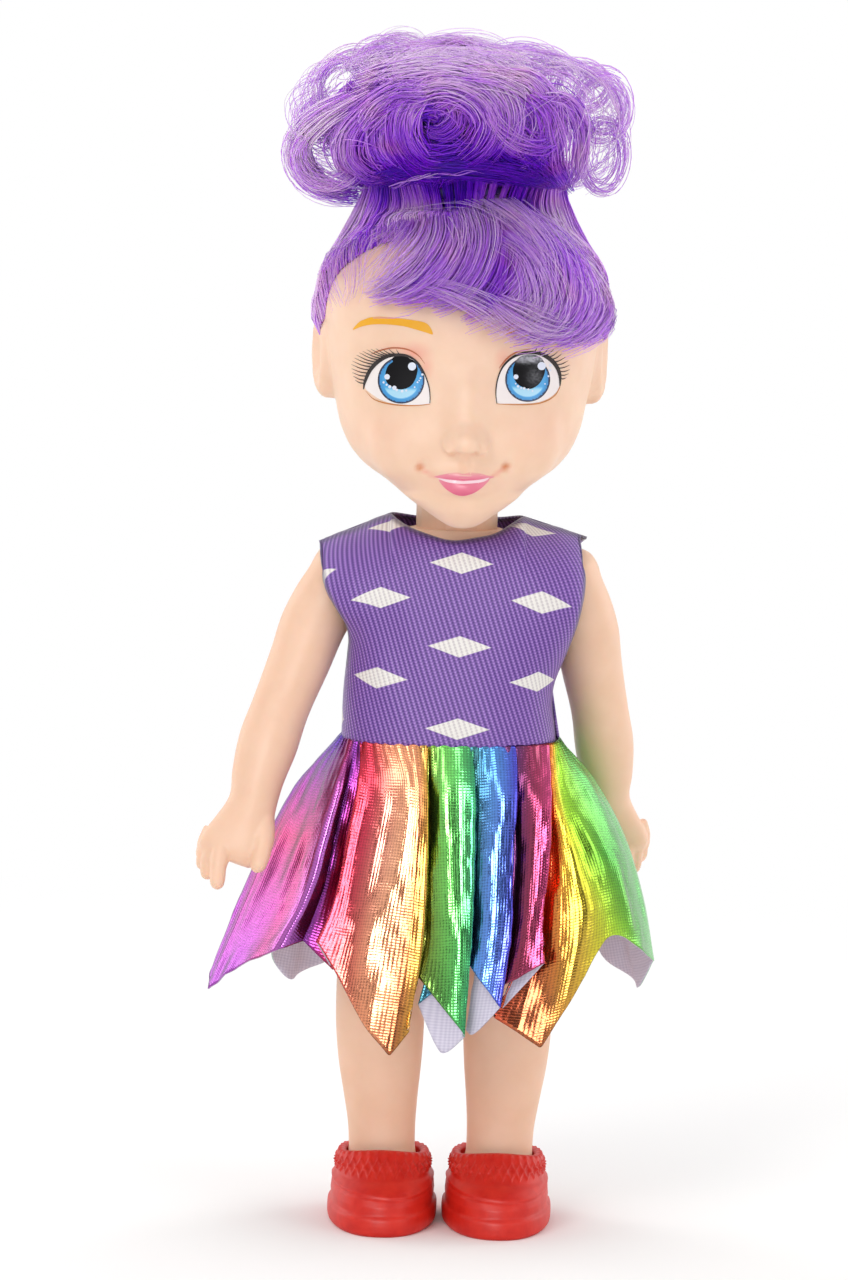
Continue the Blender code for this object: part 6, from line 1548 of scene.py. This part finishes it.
def skirtPart(name, places, colours, settings):
    rows = settings["rows"]
    grid = np.stack([splineThrough(line, rows) for line in places], axis=1)
    share = np.linspace(0, 1, rows)
    dye = np.stack([np.stack([np.interp(share, (0, 0.5, 1), line[:, k]) for k in range(3)], axis=1)
                    for line in colours], axis=1)
    both = np.concatenate((grid, dye), axis=2)
    both = withCreases(both, settings["firm"])
    for _ in range(settings["softening"]):
        both = cornersCut(both)
    grid, dye = both[..., :3], both[..., 3:]
    columns = grid.shape[1]
    across = np.concatenate(([0], np.cumsum(np.linalg.norm(np.diff(grid[rows // 2], axis=0), axis=1))))
    down = np.concatenate((np.zeros((1, columns)), np.cumsum(np.linalg.norm(np.diff(grid, axis=0), axis=2),
                                                             axis=0)))
    u, v = np.broadcast_to(across, (rows, columns)), down
    flat = np.stack((u, v, np.full_like(u, settings["seed"] * 9.0)), axis=2).reshape(-1, 3)
    long = hashNoise(flat * np.array((1, 0.22, 1)), 2.3, settings["seed"]).reshape(rows, columns)
    short = hashNoise(flat * np.array((1, 0.6, 1)), 1.1, settings["seed"] + 1).reshape(rows, columns)
    gathers = np.sin(u * 2.6 + 0.6 * np.sin(u * 0.9)) * np.exp(-v / 3.5)
    calm = ease(np.minimum(u - u[:, :1], u[:, -1:] - u) / 2.5)
    t = share[:, None]
    height = (settings["wrinkle"] * long * ease(t / 0.3) + settings["crinkle"] * short * ease(t / 0.15)
              + settings["gather"] * gathers * ease(t / 0.02)) * calm
    grid, dye, u, v, height = grid[::-1], dye[::-1], u[::-1], v[::-1], height[::-1]
    grid = grid + gridNormals(grid) * height[..., None]
    outer = grid + gridNormals(grid) * settings["thickness"]
    points, back, front, rim = slabOf(grid, outer)
    obj = addMesh(name, points, back + front + rim, foil)
    count = rows * columns
    cloth = np.stack((u, v, np.zeros_like(u)), axis=2).reshape(-1, 3)
    setValues(obj, "cloth", np.tile(cloth, (2, 1)), "FLOAT_VECTOR")
    setValues(obj, "turned", np.concatenate((np.ones(count), np.zeros(count))))
    tone = np.clip(dye.reshape(-1, 3) * (1 + 0.10 * hashNoise(cloth, 3.0, 4))[:, None], 0, 1)
    colour = np.concatenate((tone, np.ones((count, 1))), axis=1)
    attribute = obj.data.color_attributes.new("dye", "FLOAT_COLOR", "POINT")
    attribute.data.foreach_set("color", np.tile(colour, (2, 1)).astype(np.float32).ravel())
    side = np.linalg.norm(np.cross(np.diff(grid, axis=0)[:, :-1], np.diff(grid, axis=1)[:-1]),
                          axis=2).sum() * mm * mm
    print(name, len(obj.data.polygons), "faces, cloth", round(side * 1e4, 2), "cm2")
    return obj, side


def makeSkirt():
    settings = {"rows": 84, "softening": 3, "thickness": 0.22, "wrinkle": 0.34, "crinkle": 0.10,
                "gather": 0.22}
    places, colours = readPleats(pleatLines)
    right = backPleats(91.2, 179, ((93, 0.80), (106, 1.03), (130, 0.78), (154, 1.02), (167, 0.76),
                                   (181, 0.99)),
                       ("green-sea-teal", "blue", "indigo-indigo-violet", "magenta", "crimson",
                        "copper-gold-gold", "yellow-lime-leaf",
                        "sky-blue-violet", "violet-plum-orchid"))
    left = backPleats(7.5, 90, ((0, 0.86), (7, 0.99), (24, 0.79), (50, 1.03), (70, 0.80), (87, 1.00)),
                      ("mint-leaf-green", "sea-teal-teal", "sky-blue", "indigo", "violet-plum",
                       "magenta-pink", "crimson", "ember-copper",
                       "gold-yellow"))
    rightFirm, leftFirm = [k for k in firmLines if k <= frontSplit], [k - frontSplit for k in firmLines
                                                                      if k >= frontSplit]
    frontRight = (places[: frontSplit + 1], colours[: frontSplit + 1])
    frontLeft = (places[frontSplit:], colours[frontSplit:])
    backRight = (np.concatenate((right[0], places[:1])), np.concatenate((right[1], colours[:1])))
    backLeft = (np.concatenate((places[-1:], left[0])), np.concatenate((colours[-1:], left[1])))
    fronts = ((0, -13, 74), (0, -27.96, 66.67))
    backs = ((0, 0, 50), (0, -15.9, 11.1))
    for k, (name, leg, (lines, dye), ends, flat, firm) in enumerate((
            ("skirtFrontRight", "right_leg", frontRight, fronts, (0.070, 0.046), rightFirm),
            ("skirtFrontLeft", "left_leg", frontLeft, fronts, (0.085, 0.046), leftFirm),
            ("skirtBackRight", "right_leg", backRight, backs, (0.060, 0.042), ()),
            ("skirtBackLeft", "left_leg", backLeft, backs, (0.060, 0.042), ()))):
        part, area = skirtPart(name, lines, dye, {**settings, "seed": k, "firm": firm})
        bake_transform(part)
        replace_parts(part, "skirt")


makeSkirt()


# Arms, legs and shoes

def closedLoft(rings):
    # rings of equal count become a closed form that faces outwards
    rings = np.asarray(rings, float)
    rows, columns = rings.shape[:2]
    points = np.concatenate((rings.reshape(-1, 3), rings[0].mean(0)[None], rings[-1].mean(0)[None]))
    faces = gridFaces(rows, columns, True).tolist()
    faces += rim(0, columns, rows * columns, False) + rim(rows - 1, columns, rows * columns + 1, True)
    volume = sum(np.dot(points[f[0]], np.cross(points[f[k]], points[f[k + 1]])) for f in faces
                 for k in range(1, len(f) - 1))
    return points, faces if volume > 0 else [f[::-1] for f in faces]


def melted(name, forms, voxel, smoothing, material):
    # overlapping closed forms become one smooth skin
    points, faces = [], []
    for formPoints, formFaces in forms:
        start = len(points)
        points += formPoints.tolist()
        faces += [[k + start for k in face] for face in formFaces]
    rough = addMesh(name + "Rough", points, faces, material)
    remesh = rough.modifiers.new("melt", "REMESH")
    remesh.mode = "VOXEL"
    remesh.voxel_size = voxel * mm
    remesh.use_smooth_shade = True
    calm = rough.modifiers.new("calm", "SMOOTH")
    calm.factor = 0.5
    calm.iterations = smoothing
    graph = bpy.context.evaluated_depsgraph_get()
    mesh = bpy.data.meshes.new_from_object(rough.evaluated_get(graph), depsgraph=graph)
    bpy.data.objects.remove(rough, do_unlink=True)
    mesh.name = name
    mesh.materials.clear()
    mesh.materials.append(material)
    mesh.shade_smooth()
    return linked(name, mesh)


armRows = (  # along the arm, bow, half width and half depth, as shares
    (-0.092, 0.0, 0.35, 0.40), (-0.076, 0.0, 0.70, 0.74), (-0.040, 0.0, 0.94, 0.94), (0.000, 0.0, 1.00, 1.00),
    (0.080, 0.5, 1.04, 1.02), (0.160, 0.9, 1.02, 0.98), (0.275, 0.9, 0.96, 0.91), (0.430, 1.0, 0.90, 0.84),
    (0.530, 0.9, 0.93, 0.84), (0.640, 0.6, 0.82, 0.72), (0.715, 0.1, 0.76, 0.60), (0.775, 0.1, 0.90, 0.55),
    (0.825, 0.2, 1.04, 0.50), (0.865, 0.45, 1.02, 0.44), (0.890, 0.75, 0.80, 0.30),
)
digitPaths = (  # beside, behind and along the arm in millimetres, from root to tip, then the radii
    (((2.3, -1.0, 43.8), (1.5, -1.5, 48.0), (0.35, -2.0, 51.6)), (1.35, 1.36, 0.98)),
    (((3.4, -0.1, 43.8), (3.2, -0.2, 47.8), (2.45, -0.3, 50.6)), (1.28, 1.26, 0.90)),
    (((4.3, 0.7, 43.4), (4.35, 0.9, 46.9), (3.7, 1.1, 49.4)), (1.18, 1.18, 0.85)),
    (((4.9, 1.4, 42.8), (5.0, 1.8, 45.6), (4.6, 2.1, 48.0)), (1.05, 1.05, 0.75)),
    (((-1.6, -0.3, 37.8), (-3.6, -1.2, 42.6), (-4.2, -2.0, 47.2)), (1.9, 1.62, 1.12)),
)


def makeArm(name, node, side, spread, swing):
    length, halfWidth, halfDepth, bow = 52.5, 4.9, 5.3, 1.4
    share = np.linspace(armRows[0][0], armRows[-1][0], 74)
    bows, widths, depths = (smoothTable(share, column(armRows, k)) for k in (1, 2, 3))
    angle = np.linspace(0, 2 * math.pi, 48, endpoint=False)
    lean, turn = math.radians(spread), math.radians(swing)

    def place(local):
        out, back, along = local[..., 0], local[..., 1], local[..., 2]
        x = 17.4 + out * math.cos(lean) + along * math.sin(lean)
        z = out * math.sin(lean) - along * math.cos(lean)
        x = side * np.maximum(x, 14.0)
        return np.stack((x, back * math.cos(turn) - z * math.sin(turn), 98.8 + back * math.sin(turn)
                         + z * math.cos(turn)), axis=-1)

    rings = []
    for k, part in enumerate(share):
        elbow = 0.35 * math.exp(-((part - 0.40) / 0.05) ** 2)
        back = halfDepth * depths[k] * np.sin(angle) * (1 - elbow * 0.25 * (np.sin(angle) < 0))
        rings.append(np.stack((bow * bows[k] + halfWidth * widths[k] * np.cos(angle), back,
                               np.full(48, part * length)), axis=-1))
    forms = [closedLoft(place(np.array(rings)))]
    for path, radii in digitPaths:
        line = splineThrough(path, 26)
        run = np.linspace(0, 1, 26)
        radius = smoothTable(run, list(zip((0, 0.55, 1.0), radii)))
        radius = radius * np.sqrt(np.clip(1 - ((run - 0.86) / 0.14).clip(0, 1) ** 2, 0.03,
                                          1)) * (1 - 0.10 * np.exp(-((run - 0.58) / 0.08) ** 2))
        tangent = np.gradient(line, axis=0)
        tangent /= np.linalg.norm(tangent, axis=1, keepdims=True)
        side1 = np.cross(tangent, (0, 1, 0))
        side1 /= np.linalg.norm(side1, axis=1, keepdims=True)
        side2 = np.cross(tangent, side1)
        turnRound = np.linspace(0, 2 * math.pi, 24, endpoint=False)
        tube = (line[:, None] + radius[:, None, None] * (np.cos(turnRound)[None, :, None] * side1[:, None]
                                                         + np.sin(turnRound)[None, :, None] * side2[:, None]))
        forms.append(closedLoft(place(tube)))
    arm = melted(name, forms, 0.24, 7, skin)
    setValues(arm, "warmToneAndShade", np.full(len(arm.data.vertices), 0.12))
    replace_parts(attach(arm, node), node)
    print(name, len(arm.data.polygons), "faces")


footX, ankleX, legHalf, legDepth, hipZ = 8.8, 9.8, 6.8, 7.0, 64
shoeHalf, toeReach, heelReach, shoeHeight = 8.4, 16.1, 9.6, 10
legRows = (  # height, centre, half width, reach to the front, reach to the back, as shares
    (0.165, 0.924, 0.750, 0.60, 0.77), (0.220, 0.935, 0.765, 0.59, 0.80), (0.285, 0.958, 0.830, 0.66, 0.93),
    (0.375, 0.985, 0.940, 0.77, 1.10), (0.470, 1.000, 1.000, 0.84, 1.14), (0.565, 1.010, 0.990, 0.89, 1.02),
    (0.660, 1.020, 0.955, 0.94, 0.92), (0.780, 1.050, 0.890, 1.00, 1.00), (0.860, 1.066, 0.850, 1.03, 1.08),
    (1.000, 1.066, 0.820, 1.00, 1.05),
)
shoeRows = (  # height, half width, toe, heel, as shares
    (0.00, 0.940, 0.970, 0.940), (0.03, 0.985, 0.990, 0.985), (0.07, 1.000, 1.000, 1.000),
    (0.17, 1.005, 1.003, 1.003),
    (0.25, 1.000, 1.000, 1.000), (0.29, 0.985, 0.988, 0.985), (0.31, 0.945, 0.965, 0.950),
    (0.34, 0.940, 0.962, 0.948),
    (0.44, 0.950, 0.958, 0.955), (0.55, 0.940, 0.925, 0.945), (0.64, 0.922, 0.860, 0.935),
    (0.73, 0.895, 0.770, 0.915),
    (0.80, 0.866, 0.655, 0.890), (0.86, 0.845, 0.560, 0.870), (0.93, 0.850, 0.480, 0.860),
    (1.00, 0.820, 0.400, 0.830),
)


def ovalRing(centre, halfWidth, front, back, square, count):
    angle = np.linspace(0, 2 * math.pi, count, endpoint=False)
    c, s = np.cos(angle), np.sin(angle)
    reach = (np.abs(c) ** square + np.abs(s) ** square) ** (-1 / square)
    depth = np.where(s < 0, front, back)
    return np.stack((centre[0] + halfWidth * reach * c, centre[1] + depth * reach * s,
                     np.full(count, float(centre[2]))), axis=1)


def shoeRing(side, share, inset, z, count):
    width, toe, heel = (np.interp(share, *zip(*column(shoeRows, k))) for k in (1, 2, 3))
    ring = ovalRing((side * footX, 0, z), width * shoeHalf - inset, toe * toeReach - inset, heel * heelReach
                    - inset,
                    2.25, count)
    out = ring - np.array((side * footX, 0, z))
    out /= np.linalg.norm(out, axis=1, keepdims=True)
    ring[:, 2] += 1.0 * np.maximum(-out[:, 1], 0) ** 2 * ease((share - 0.73) / 0.27)
    return ring, out


def makeLeg(name, node, side):
    rings = []
    for share in (0.32, 0.36, 0.45, 0.55, 0.64, 0.73, 0.80, 0.86):
        rings.append(shoeRing(side, share, 1.55, max(share * shoeHeight - 1.55, 1.7), 64)[0])
    for height in np.linspace(0.165, 1.0, 60):
        centre, width, front, back = (smoothTable([height], column(legRows, k))[0] for k in (1, 2, 3, 4))
        knee = math.exp(-((height - 0.615) / 0.035) ** 2)
        ring = ovalRing((side * centre * ankleX, 0, height * hipZ), width * legHalf, front * legDepth,
                        back * legDepth, 2, 64)
        ring[:, 1] -= 0.28 * knee * np.exp(-((ring[:, 0] - side * centre * ankleX)
                                             / 2.6) ** 2) * (ring[:, 1] < 0)
        rings.append(ring)
    forms = [closedLoft(rings)]
    profile = ((0.05, 4.6), (8.4, 4.6), (9.0, 5.3), (9.0, 10.6), (8.5, 12.6), (7.4, 13.9), (6.0, 14.9),
               (3.6, 15.6), (0.05, 15.8))
    angle = np.linspace(0, 2 * math.pi, 64, endpoint=False)
    forms.append(closedLoft([np.stack((np.full(64, side * x), r * np.cos(angle), hipZ + r * np.sin(angle)),
                                      axis=1)
                             for r, x in profile]))
    leg = melted(name, forms, 0.36, 5, skin)
    setValues(leg, "warmToneAndShade", np.full(len(leg.data.vertices), 0.18))
    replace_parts(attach(leg, node), node)
    print(name, len(leg.data.polygons), "faces")


def triangleWave(a):
    return 2 * np.abs(2 * (a / (2 * math.pi) - np.floor(a / (2 * math.pi) + 0.5))) - 1


def makeShoe(name, node, body, side):
    settings = {"columns": 288, "zigzags": 34, "laceHeight": 0.30, "bandHeight": 0.20, "wall": 1.2,
                "flowerPlace": (8.95, -8.2)}
    count = settings["columns"]
    angle = np.linspace(0, 2 * math.pi, count, endpoint=False)
    shares = np.concatenate((np.linspace(0, 0.34, 18), np.linspace(0.355, 0.72, 26),
                             np.linspace(0.73, 1.0, 34)))
    rings = []
    for share in shares:
        level = share * shoeHeight
        ring, out = shoeRing(side, share, 0, level, count)
        front = np.maximum(-out[:, 1], 0)
        zig = triangleWave(angle * settings["zigzags"])
        lace = np.exp(-((level - 8.35 - 0.42 * zig) / 0.20) ** 2) + np.exp(-((level - 8.95 + 0.42 * zig)
                                                                             / 0.20) ** 2)
        lace = lace * settings["laceHeight"] + 0.10 * np.exp(-((level - 9.7) / 0.25) ** 2)
        lace = lace * ease((level - 7.5) / 0.4)
        bandLine = 6.55 - 0.55 * front**2 + 0.25 * np.sin(2 * angle)
        band = settings["bandHeight"] * (np.exp(-((level - bandLine) / 0.22) ** 2)
                                         - 0.7 * np.exp(-((level - bandLine + 0.45) / 0.16) ** 2))
        fold = 0.10 * np.exp(-((level - bandLine - 0.75) / 0.3) ** 2) * np.sin(angle * 9 + side)
        hollow = -0.22 * np.exp(-((level - 7.35) / 0.35) ** 2)
        grain = 0.035 * hashNoise(ring, 1.6, 8)
        ring = ring + out * (lace + band + fold + hollow + grain)[:, None]
        ring[:, 2] += 0.22 * (0.5 + 0.5 * np.cos(angle * settings["zigzags"])) * ease((share - 0.93) / 0.07)
        rings.append(ring)
    edge, out = shoeRing(side, 1.0, 0.6, 10.25, count)
    rings.append(edge)
    for share in np.linspace(1.0, 0.30, 12):
        rings.append(shoeRing(side, share, settings["wall"], max(share * shoeHeight, 1.3), count)[0])
    points, faces = closedLoft(rings)
    z, y = settings["flowerPlace"]
    centre = np.array((side * footX, y, z))
    tilt = math.radians(-34)
    for k in range(7):
        petal = k < 6
        a = 2 * math.pi * k / 6
        offset = np.array((math.cos(a) * 0.98, 0, math.sin(a) * 0.98)) if petal else np.array((0, -0.32, 0))
        radius = np.array((0.56, 0.42, 0.56)) if petal else np.array((0.62, 0.5, 0.62))
        ball = []
        for p in np.linspace(-1.45, 1.45, 10):
            r = np.linspace(0, 2 * math.pi, 18, endpoint=False)
            ball.append(np.stack((np.cos(p) * np.cos(r), np.full(18, math.sin(p)), np.cos(p) * np.sin(r)),
                                 axis=1))
        ball = np.array(ball) * radius + offset
        dy, dz = ball[..., 1].copy(), ball[..., 2].copy()
        ball[..., 1] = dy * math.cos(tilt) - dz * math.sin(tilt)
        ball[..., 2] = dy * math.sin(tilt) + dz * math.cos(tilt)
        petalPoints, petalFaces = closedLoft(ball + centre)
        start = len(points)
        points = np.concatenate((points, petalPoints))
        faces = faces + [[q + start for q in face] for face in petalFaces]
    shoe = addMesh(name, points, faces, shoeRed)
    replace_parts(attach(shoe, body), node)


makeArm("armRight", "right_arm", -1, 19.0, -15.0)
makeArm("armLeft", "left_arm", 1, 10.5, 18.0)
for legName, legNode, shoeName, shoeNode, legSide in (("legRight", "right_leg", "shoeRight", "right_shoe",
                                                       -1),
                                                     ("legLeft", "left_leg", "shoeLeft", "left_shoe", 1)):
    makeLeg(legName, legNode, legSide)
    makeShoe(shoeName, shoeNode, legNode, legSide)


# Back of the bodice: two panels that overlap at the closure, with the closure's two tapes between them

def backGrid(xFrom, xTo, outerLayer, tFrom=0.0, tTo=1.0, rows=60, columns=60, lift=0.0):
    t = tFrom + (tTo - tFrom) * (1 - (1 - np.linspace(0, 1, rows)) ** 1.3)
    half = bodiceHalf * smoothTable(t, backEdge)
    grid = []
    for i in range(rows):
        far = lambda x: math.copysign(min(abs(x), half[i]), x)
        x = np.linspace(far(xFrom), far(xTo), columns)
        row = bodicePoint(np.clip(x / half[i], -1, 1), np.full(columns, t[i]), False)
        row[:, 1] += lift
        if outerLayer:
            row[:, 1] += 3.1 * (1 - ease((x - 4.0) / 4.0))
        grid.append(row)
    return np.array(grid), t


def makeClosure():
    for name, node, span, outer in (("bodiceBackLeft", "bodice_back_left", (33, -4), True),
                                    ("bodiceBackRight", "bodice_back_right", (4, -33), False)):
        grid, t = backGrid(*span, outer)
        cloth = np.stack((grid[..., 0] * 1.25, climbed(grid, waistZ + 3.0), np.zeros_like(grid[..., 0])),
                         axis=-1)
        edge = np.clip(np.repeat(ease((t - 0.975) / 0.02)[:, None] * 0.75, grid.shape[1], axis=1), 0, 1)
        panel = clothObject(name, grid, knitThickness, knit, cloth, edge)
        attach(panel, "torso")
        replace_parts(panel, node)
    for name, node, lift in (("loopTape", "loop_tape", 0.8), ("hookTape", "hook_tape", 1.7)):
        grid, t = backGrid(3.4, -3.4, False, 0.12, 0.86, 90, 34, lift)
        nap = hashNoise(grid.reshape(-1, 3), 0.5, 3).reshape(grid.shape[:2])
        grid[..., 1] += 0.05 * nap
        tape = clothObject(name, grid, 0.55, tapeWhite, grid)
        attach(tape, "torso")
        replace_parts(tape, node)


makeClosure()


# carried-over pieces keep the solid's mesh and take a finish
def finishRest():
    wanted = {"skin": skin, "hair": shadedHairUnderlay, "tie": tieViolet, "knit": knit, "tape": tapeWhite, "foil": foil,
              "shoe": shoeRed}
    for obj in frame["nodes"].values():
        old = obj.data.materials[0].name.split(".")[0] if obj.data.materials else "skin"
        obj.data.materials.clear()
        obj.data.materials.append(wanted.get(old, skin))


def makeNeckFill():
    # a plug inside the neck column, so that no light comes through the seam of the two body halves
    angle = np.linspace(0, 2 * math.pi, 48, endpoint=False)
    rings = [np.stack((r * np.cos(angle), neckY + r * np.sin(angle), np.full(48, torsoTop + z)), axis=1)
             for r, z in ((0.05, -1.8), (5.9, -1.8), (5.9, 2.0), (3.9, 2.2), (3.9, 4.6), (0.05, 4.6))]
    points, faces = closedLoft(rings)
    plug = addMesh("neckFill", points, faces, skin)
    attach(plug, "torso")


finishRest()
makeNeckFill()


# Stage, lights and camera

def makeStage():
    settings = {"ambient": 0.57, "keyPower": 2.35, "fillPower": 1.2, "stripPower": 4.4, "topPower": 2.1,
                "rimPower": 1.0,
                "nearRadius": 0.10, "farRadius": 0.32}
    scene = bpy.context.scene
    scene.view_settings.view_transform = "Standard"
    cardBlack = Finish("cardBlack", (0.006, 0.006, 0.006, 1), 0.9).material
    world = bpy.data.worlds.new("whiteStudio")
    scene.world = world
    world.use_nodes = True
    nodes, links = world.node_tree.nodes, world.node_tree.links
    background = nodes["Background"]
    white = nodes.new("ShaderNodeBackground")
    white.inputs["Color"].default_value = (1, 1, 1, 1)
    white.inputs["Strength"].default_value = 1.0
    background.inputs["Color"].default_value = (1, 0.99, 0.98, 1)
    background.inputs["Strength"].default_value = settings["ambient"]
    path = nodes.new("ShaderNodeLightPath")
    seen = nodes.new("ShaderNodeMath")
    seen.operation = "MAXIMUM"
    links.new(path.outputs["Is Camera Ray"], seen.inputs[0])
    links.new(path.outputs["Is Transmission Ray"], seen.inputs[1])
    shown = nodes.new("ShaderNodeMath")
    shown.operation = "MAXIMUM"
    links.new(seen.outputs[0], shown.inputs[0])
    links.new(path.outputs["Is Glossy Ray"], shown.inputs[1])
    mix = nodes.new("ShaderNodeMixShader")
    links.new(shown.outputs[0], mix.inputs[0])
    links.new(background.outputs[0], mix.inputs[1])
    links.new(white.outputs[0], mix.inputs[2])
    links.new(mix.outputs[0], nodes["World Output"].inputs["Surface"])

    floorMesh = bpy.data.meshes.new("floor")
    span = 3.0
    floorMesh.from_pydata([(-span, -span, 0), (span, -span, 0), (span, span, 0), (-span, span, 0)], [],
                          [(0, 1, 2, 3)])
    floor = linked("floor", floorMesh)
    paper = Finish("paperWhite", (0.97, 0.97, 0.97, 1), 0.9)
    # the floor is plain paper near the shoes, where it keeps the shadow, and turns to pure white further out
    away = paper.node("ShaderNodeVectorMath", operation="LENGTH")
    paper.link(paper.place(), away.inputs[0])
    fade = paper.node("ShaderNodeMapRange")
    fade.interpolation_type = "SMOOTHSTEP"
    paper.link(away.outputs["Value"], fade.inputs["Value"])
    fade.inputs["From Min"].default_value = settings["nearRadius"]
    fade.inputs["From Max"].default_value = settings["farRadius"]
    ray = paper.node("ShaderNodeLightPath")
    seenByAll = paper.maths("MAXIMUM", ray.outputs["Is Camera Ray"],
                            paper.maths("MAXIMUM", ray.outputs["Is Glossy Ray"],
                                        ray.outputs["Is Transmission Ray"]))
    glow = paper.node("ShaderNodeEmission")
    glow.inputs["Color"].default_value = (1, 1, 1, 1)
    blend = paper.node("ShaderNodeMixShader")
    paper.link(paper.maths("MULTIPLY", fade.outputs["Result"], seenByAll), blend.inputs[0])
    paper.link(paper.shader.outputs[0], blend.inputs[1])
    paper.link(glow.outputs[0], blend.inputs[2])
    paper.link(blend.outputs[0], paper.tree.nodes["Material Output"].inputs["Surface"])
    floorMesh.materials.append(paper.material)

    def lamp(name, place, size, power):
        data = bpy.data.lights.new(name, "AREA")
        data.shape = "RECTANGLE"
        data.size, data.size_y = size
        data.energy = power
        obj = linked(name, data)
        start, aim = Vector(place), Vector((0, 0, 0.09))
        obj.matrix_world = Matrix.Translation(start) @ (aim - start).to_track_quat("-Z",
                                                                                   "Y").to_matrix().to_4x4()
        return obj

    lamp("keyBox", (-0.42, -0.62, 0.62), (0.42, 0.42), settings["keyPower"])
    lamp("fillBox", (0.70, -0.45, 0.30), (0.35, 0.55), settings["fillPower"])
    strip = lamp("stripBox", (-0.07, -0.76, 0.19), (0.22, 0.50), settings["stripPower"])
    strip.visible_diffuse = False
    lamp("topBox", (0.0, 0.10, 0.85), (0.6, 0.6), settings["topPower"])
    lamp("leftRim", (-0.60, 0.35, 0.25), (0.25, 0.6), settings["rimPower"])
    lamp("rightRim", (0.60, 0.35, 0.25), (0.25, 0.6), settings["rimPower"])

    # dark cards, seen only in reflections, give the foil its dark bands
    for k, (x, y, z, width, height) in enumerate(((-0.20, -0.50, 0.10, 0.16, 0.34),
                                                  (0.20, -0.50, 0.12, 0.18, 0.34),
                                                  (0.03, -0.50, -0.16, 0.60, 0.20))):
        cardMesh = bpy.data.meshes.new(f"darkCard{k}")
        cardMesh.from_pydata([(x - width / 2, y, z - height / 2), (x + width / 2, y, z - height / 2),
                              (x + width / 2, y, z + height / 2), (x - width / 2, y, z + height / 2)], [],
                              [(0, 1, 2, 3)])
        card = linked(f"darkCard{k}", cardMesh)
        cardMesh.materials.append(cardBlack)
        for flag in ("visible_camera", "visible_diffuse", "visible_shadow", "visible_transmission"):
            setattr(card, flag, False)

    camera = bpy.data.cameras.new("view")
    camera.sensor_fit = "VERTICAL"
    camera.sensor_height = 36
    camera.lens = 4287.3 / 1280 * 36
    camera.shift_x = -29.7 / 1280
    camera.clip_start = 0.01
    eye = linked("view", camera)
    pitch, roll = 0.105193, math.radians(1.5)
    forward = Vector((0, math.cos(pitch), -math.sin(pitch)))
    right, up = Vector((1, 0, 0)), Vector((0, math.sin(pitch), math.cos(pitch)))
    c, s = math.cos(roll), math.sin(roll)
    across, upward = right * c + up * s, up * c - right * s
    turn = Matrix((across, upward, -forward)).transposed().to_4x4()
    eye.matrix_world = Matrix.Translation(rowPoint(*eyePoint)) @ turn
    scene.camera = eye


makeStage()
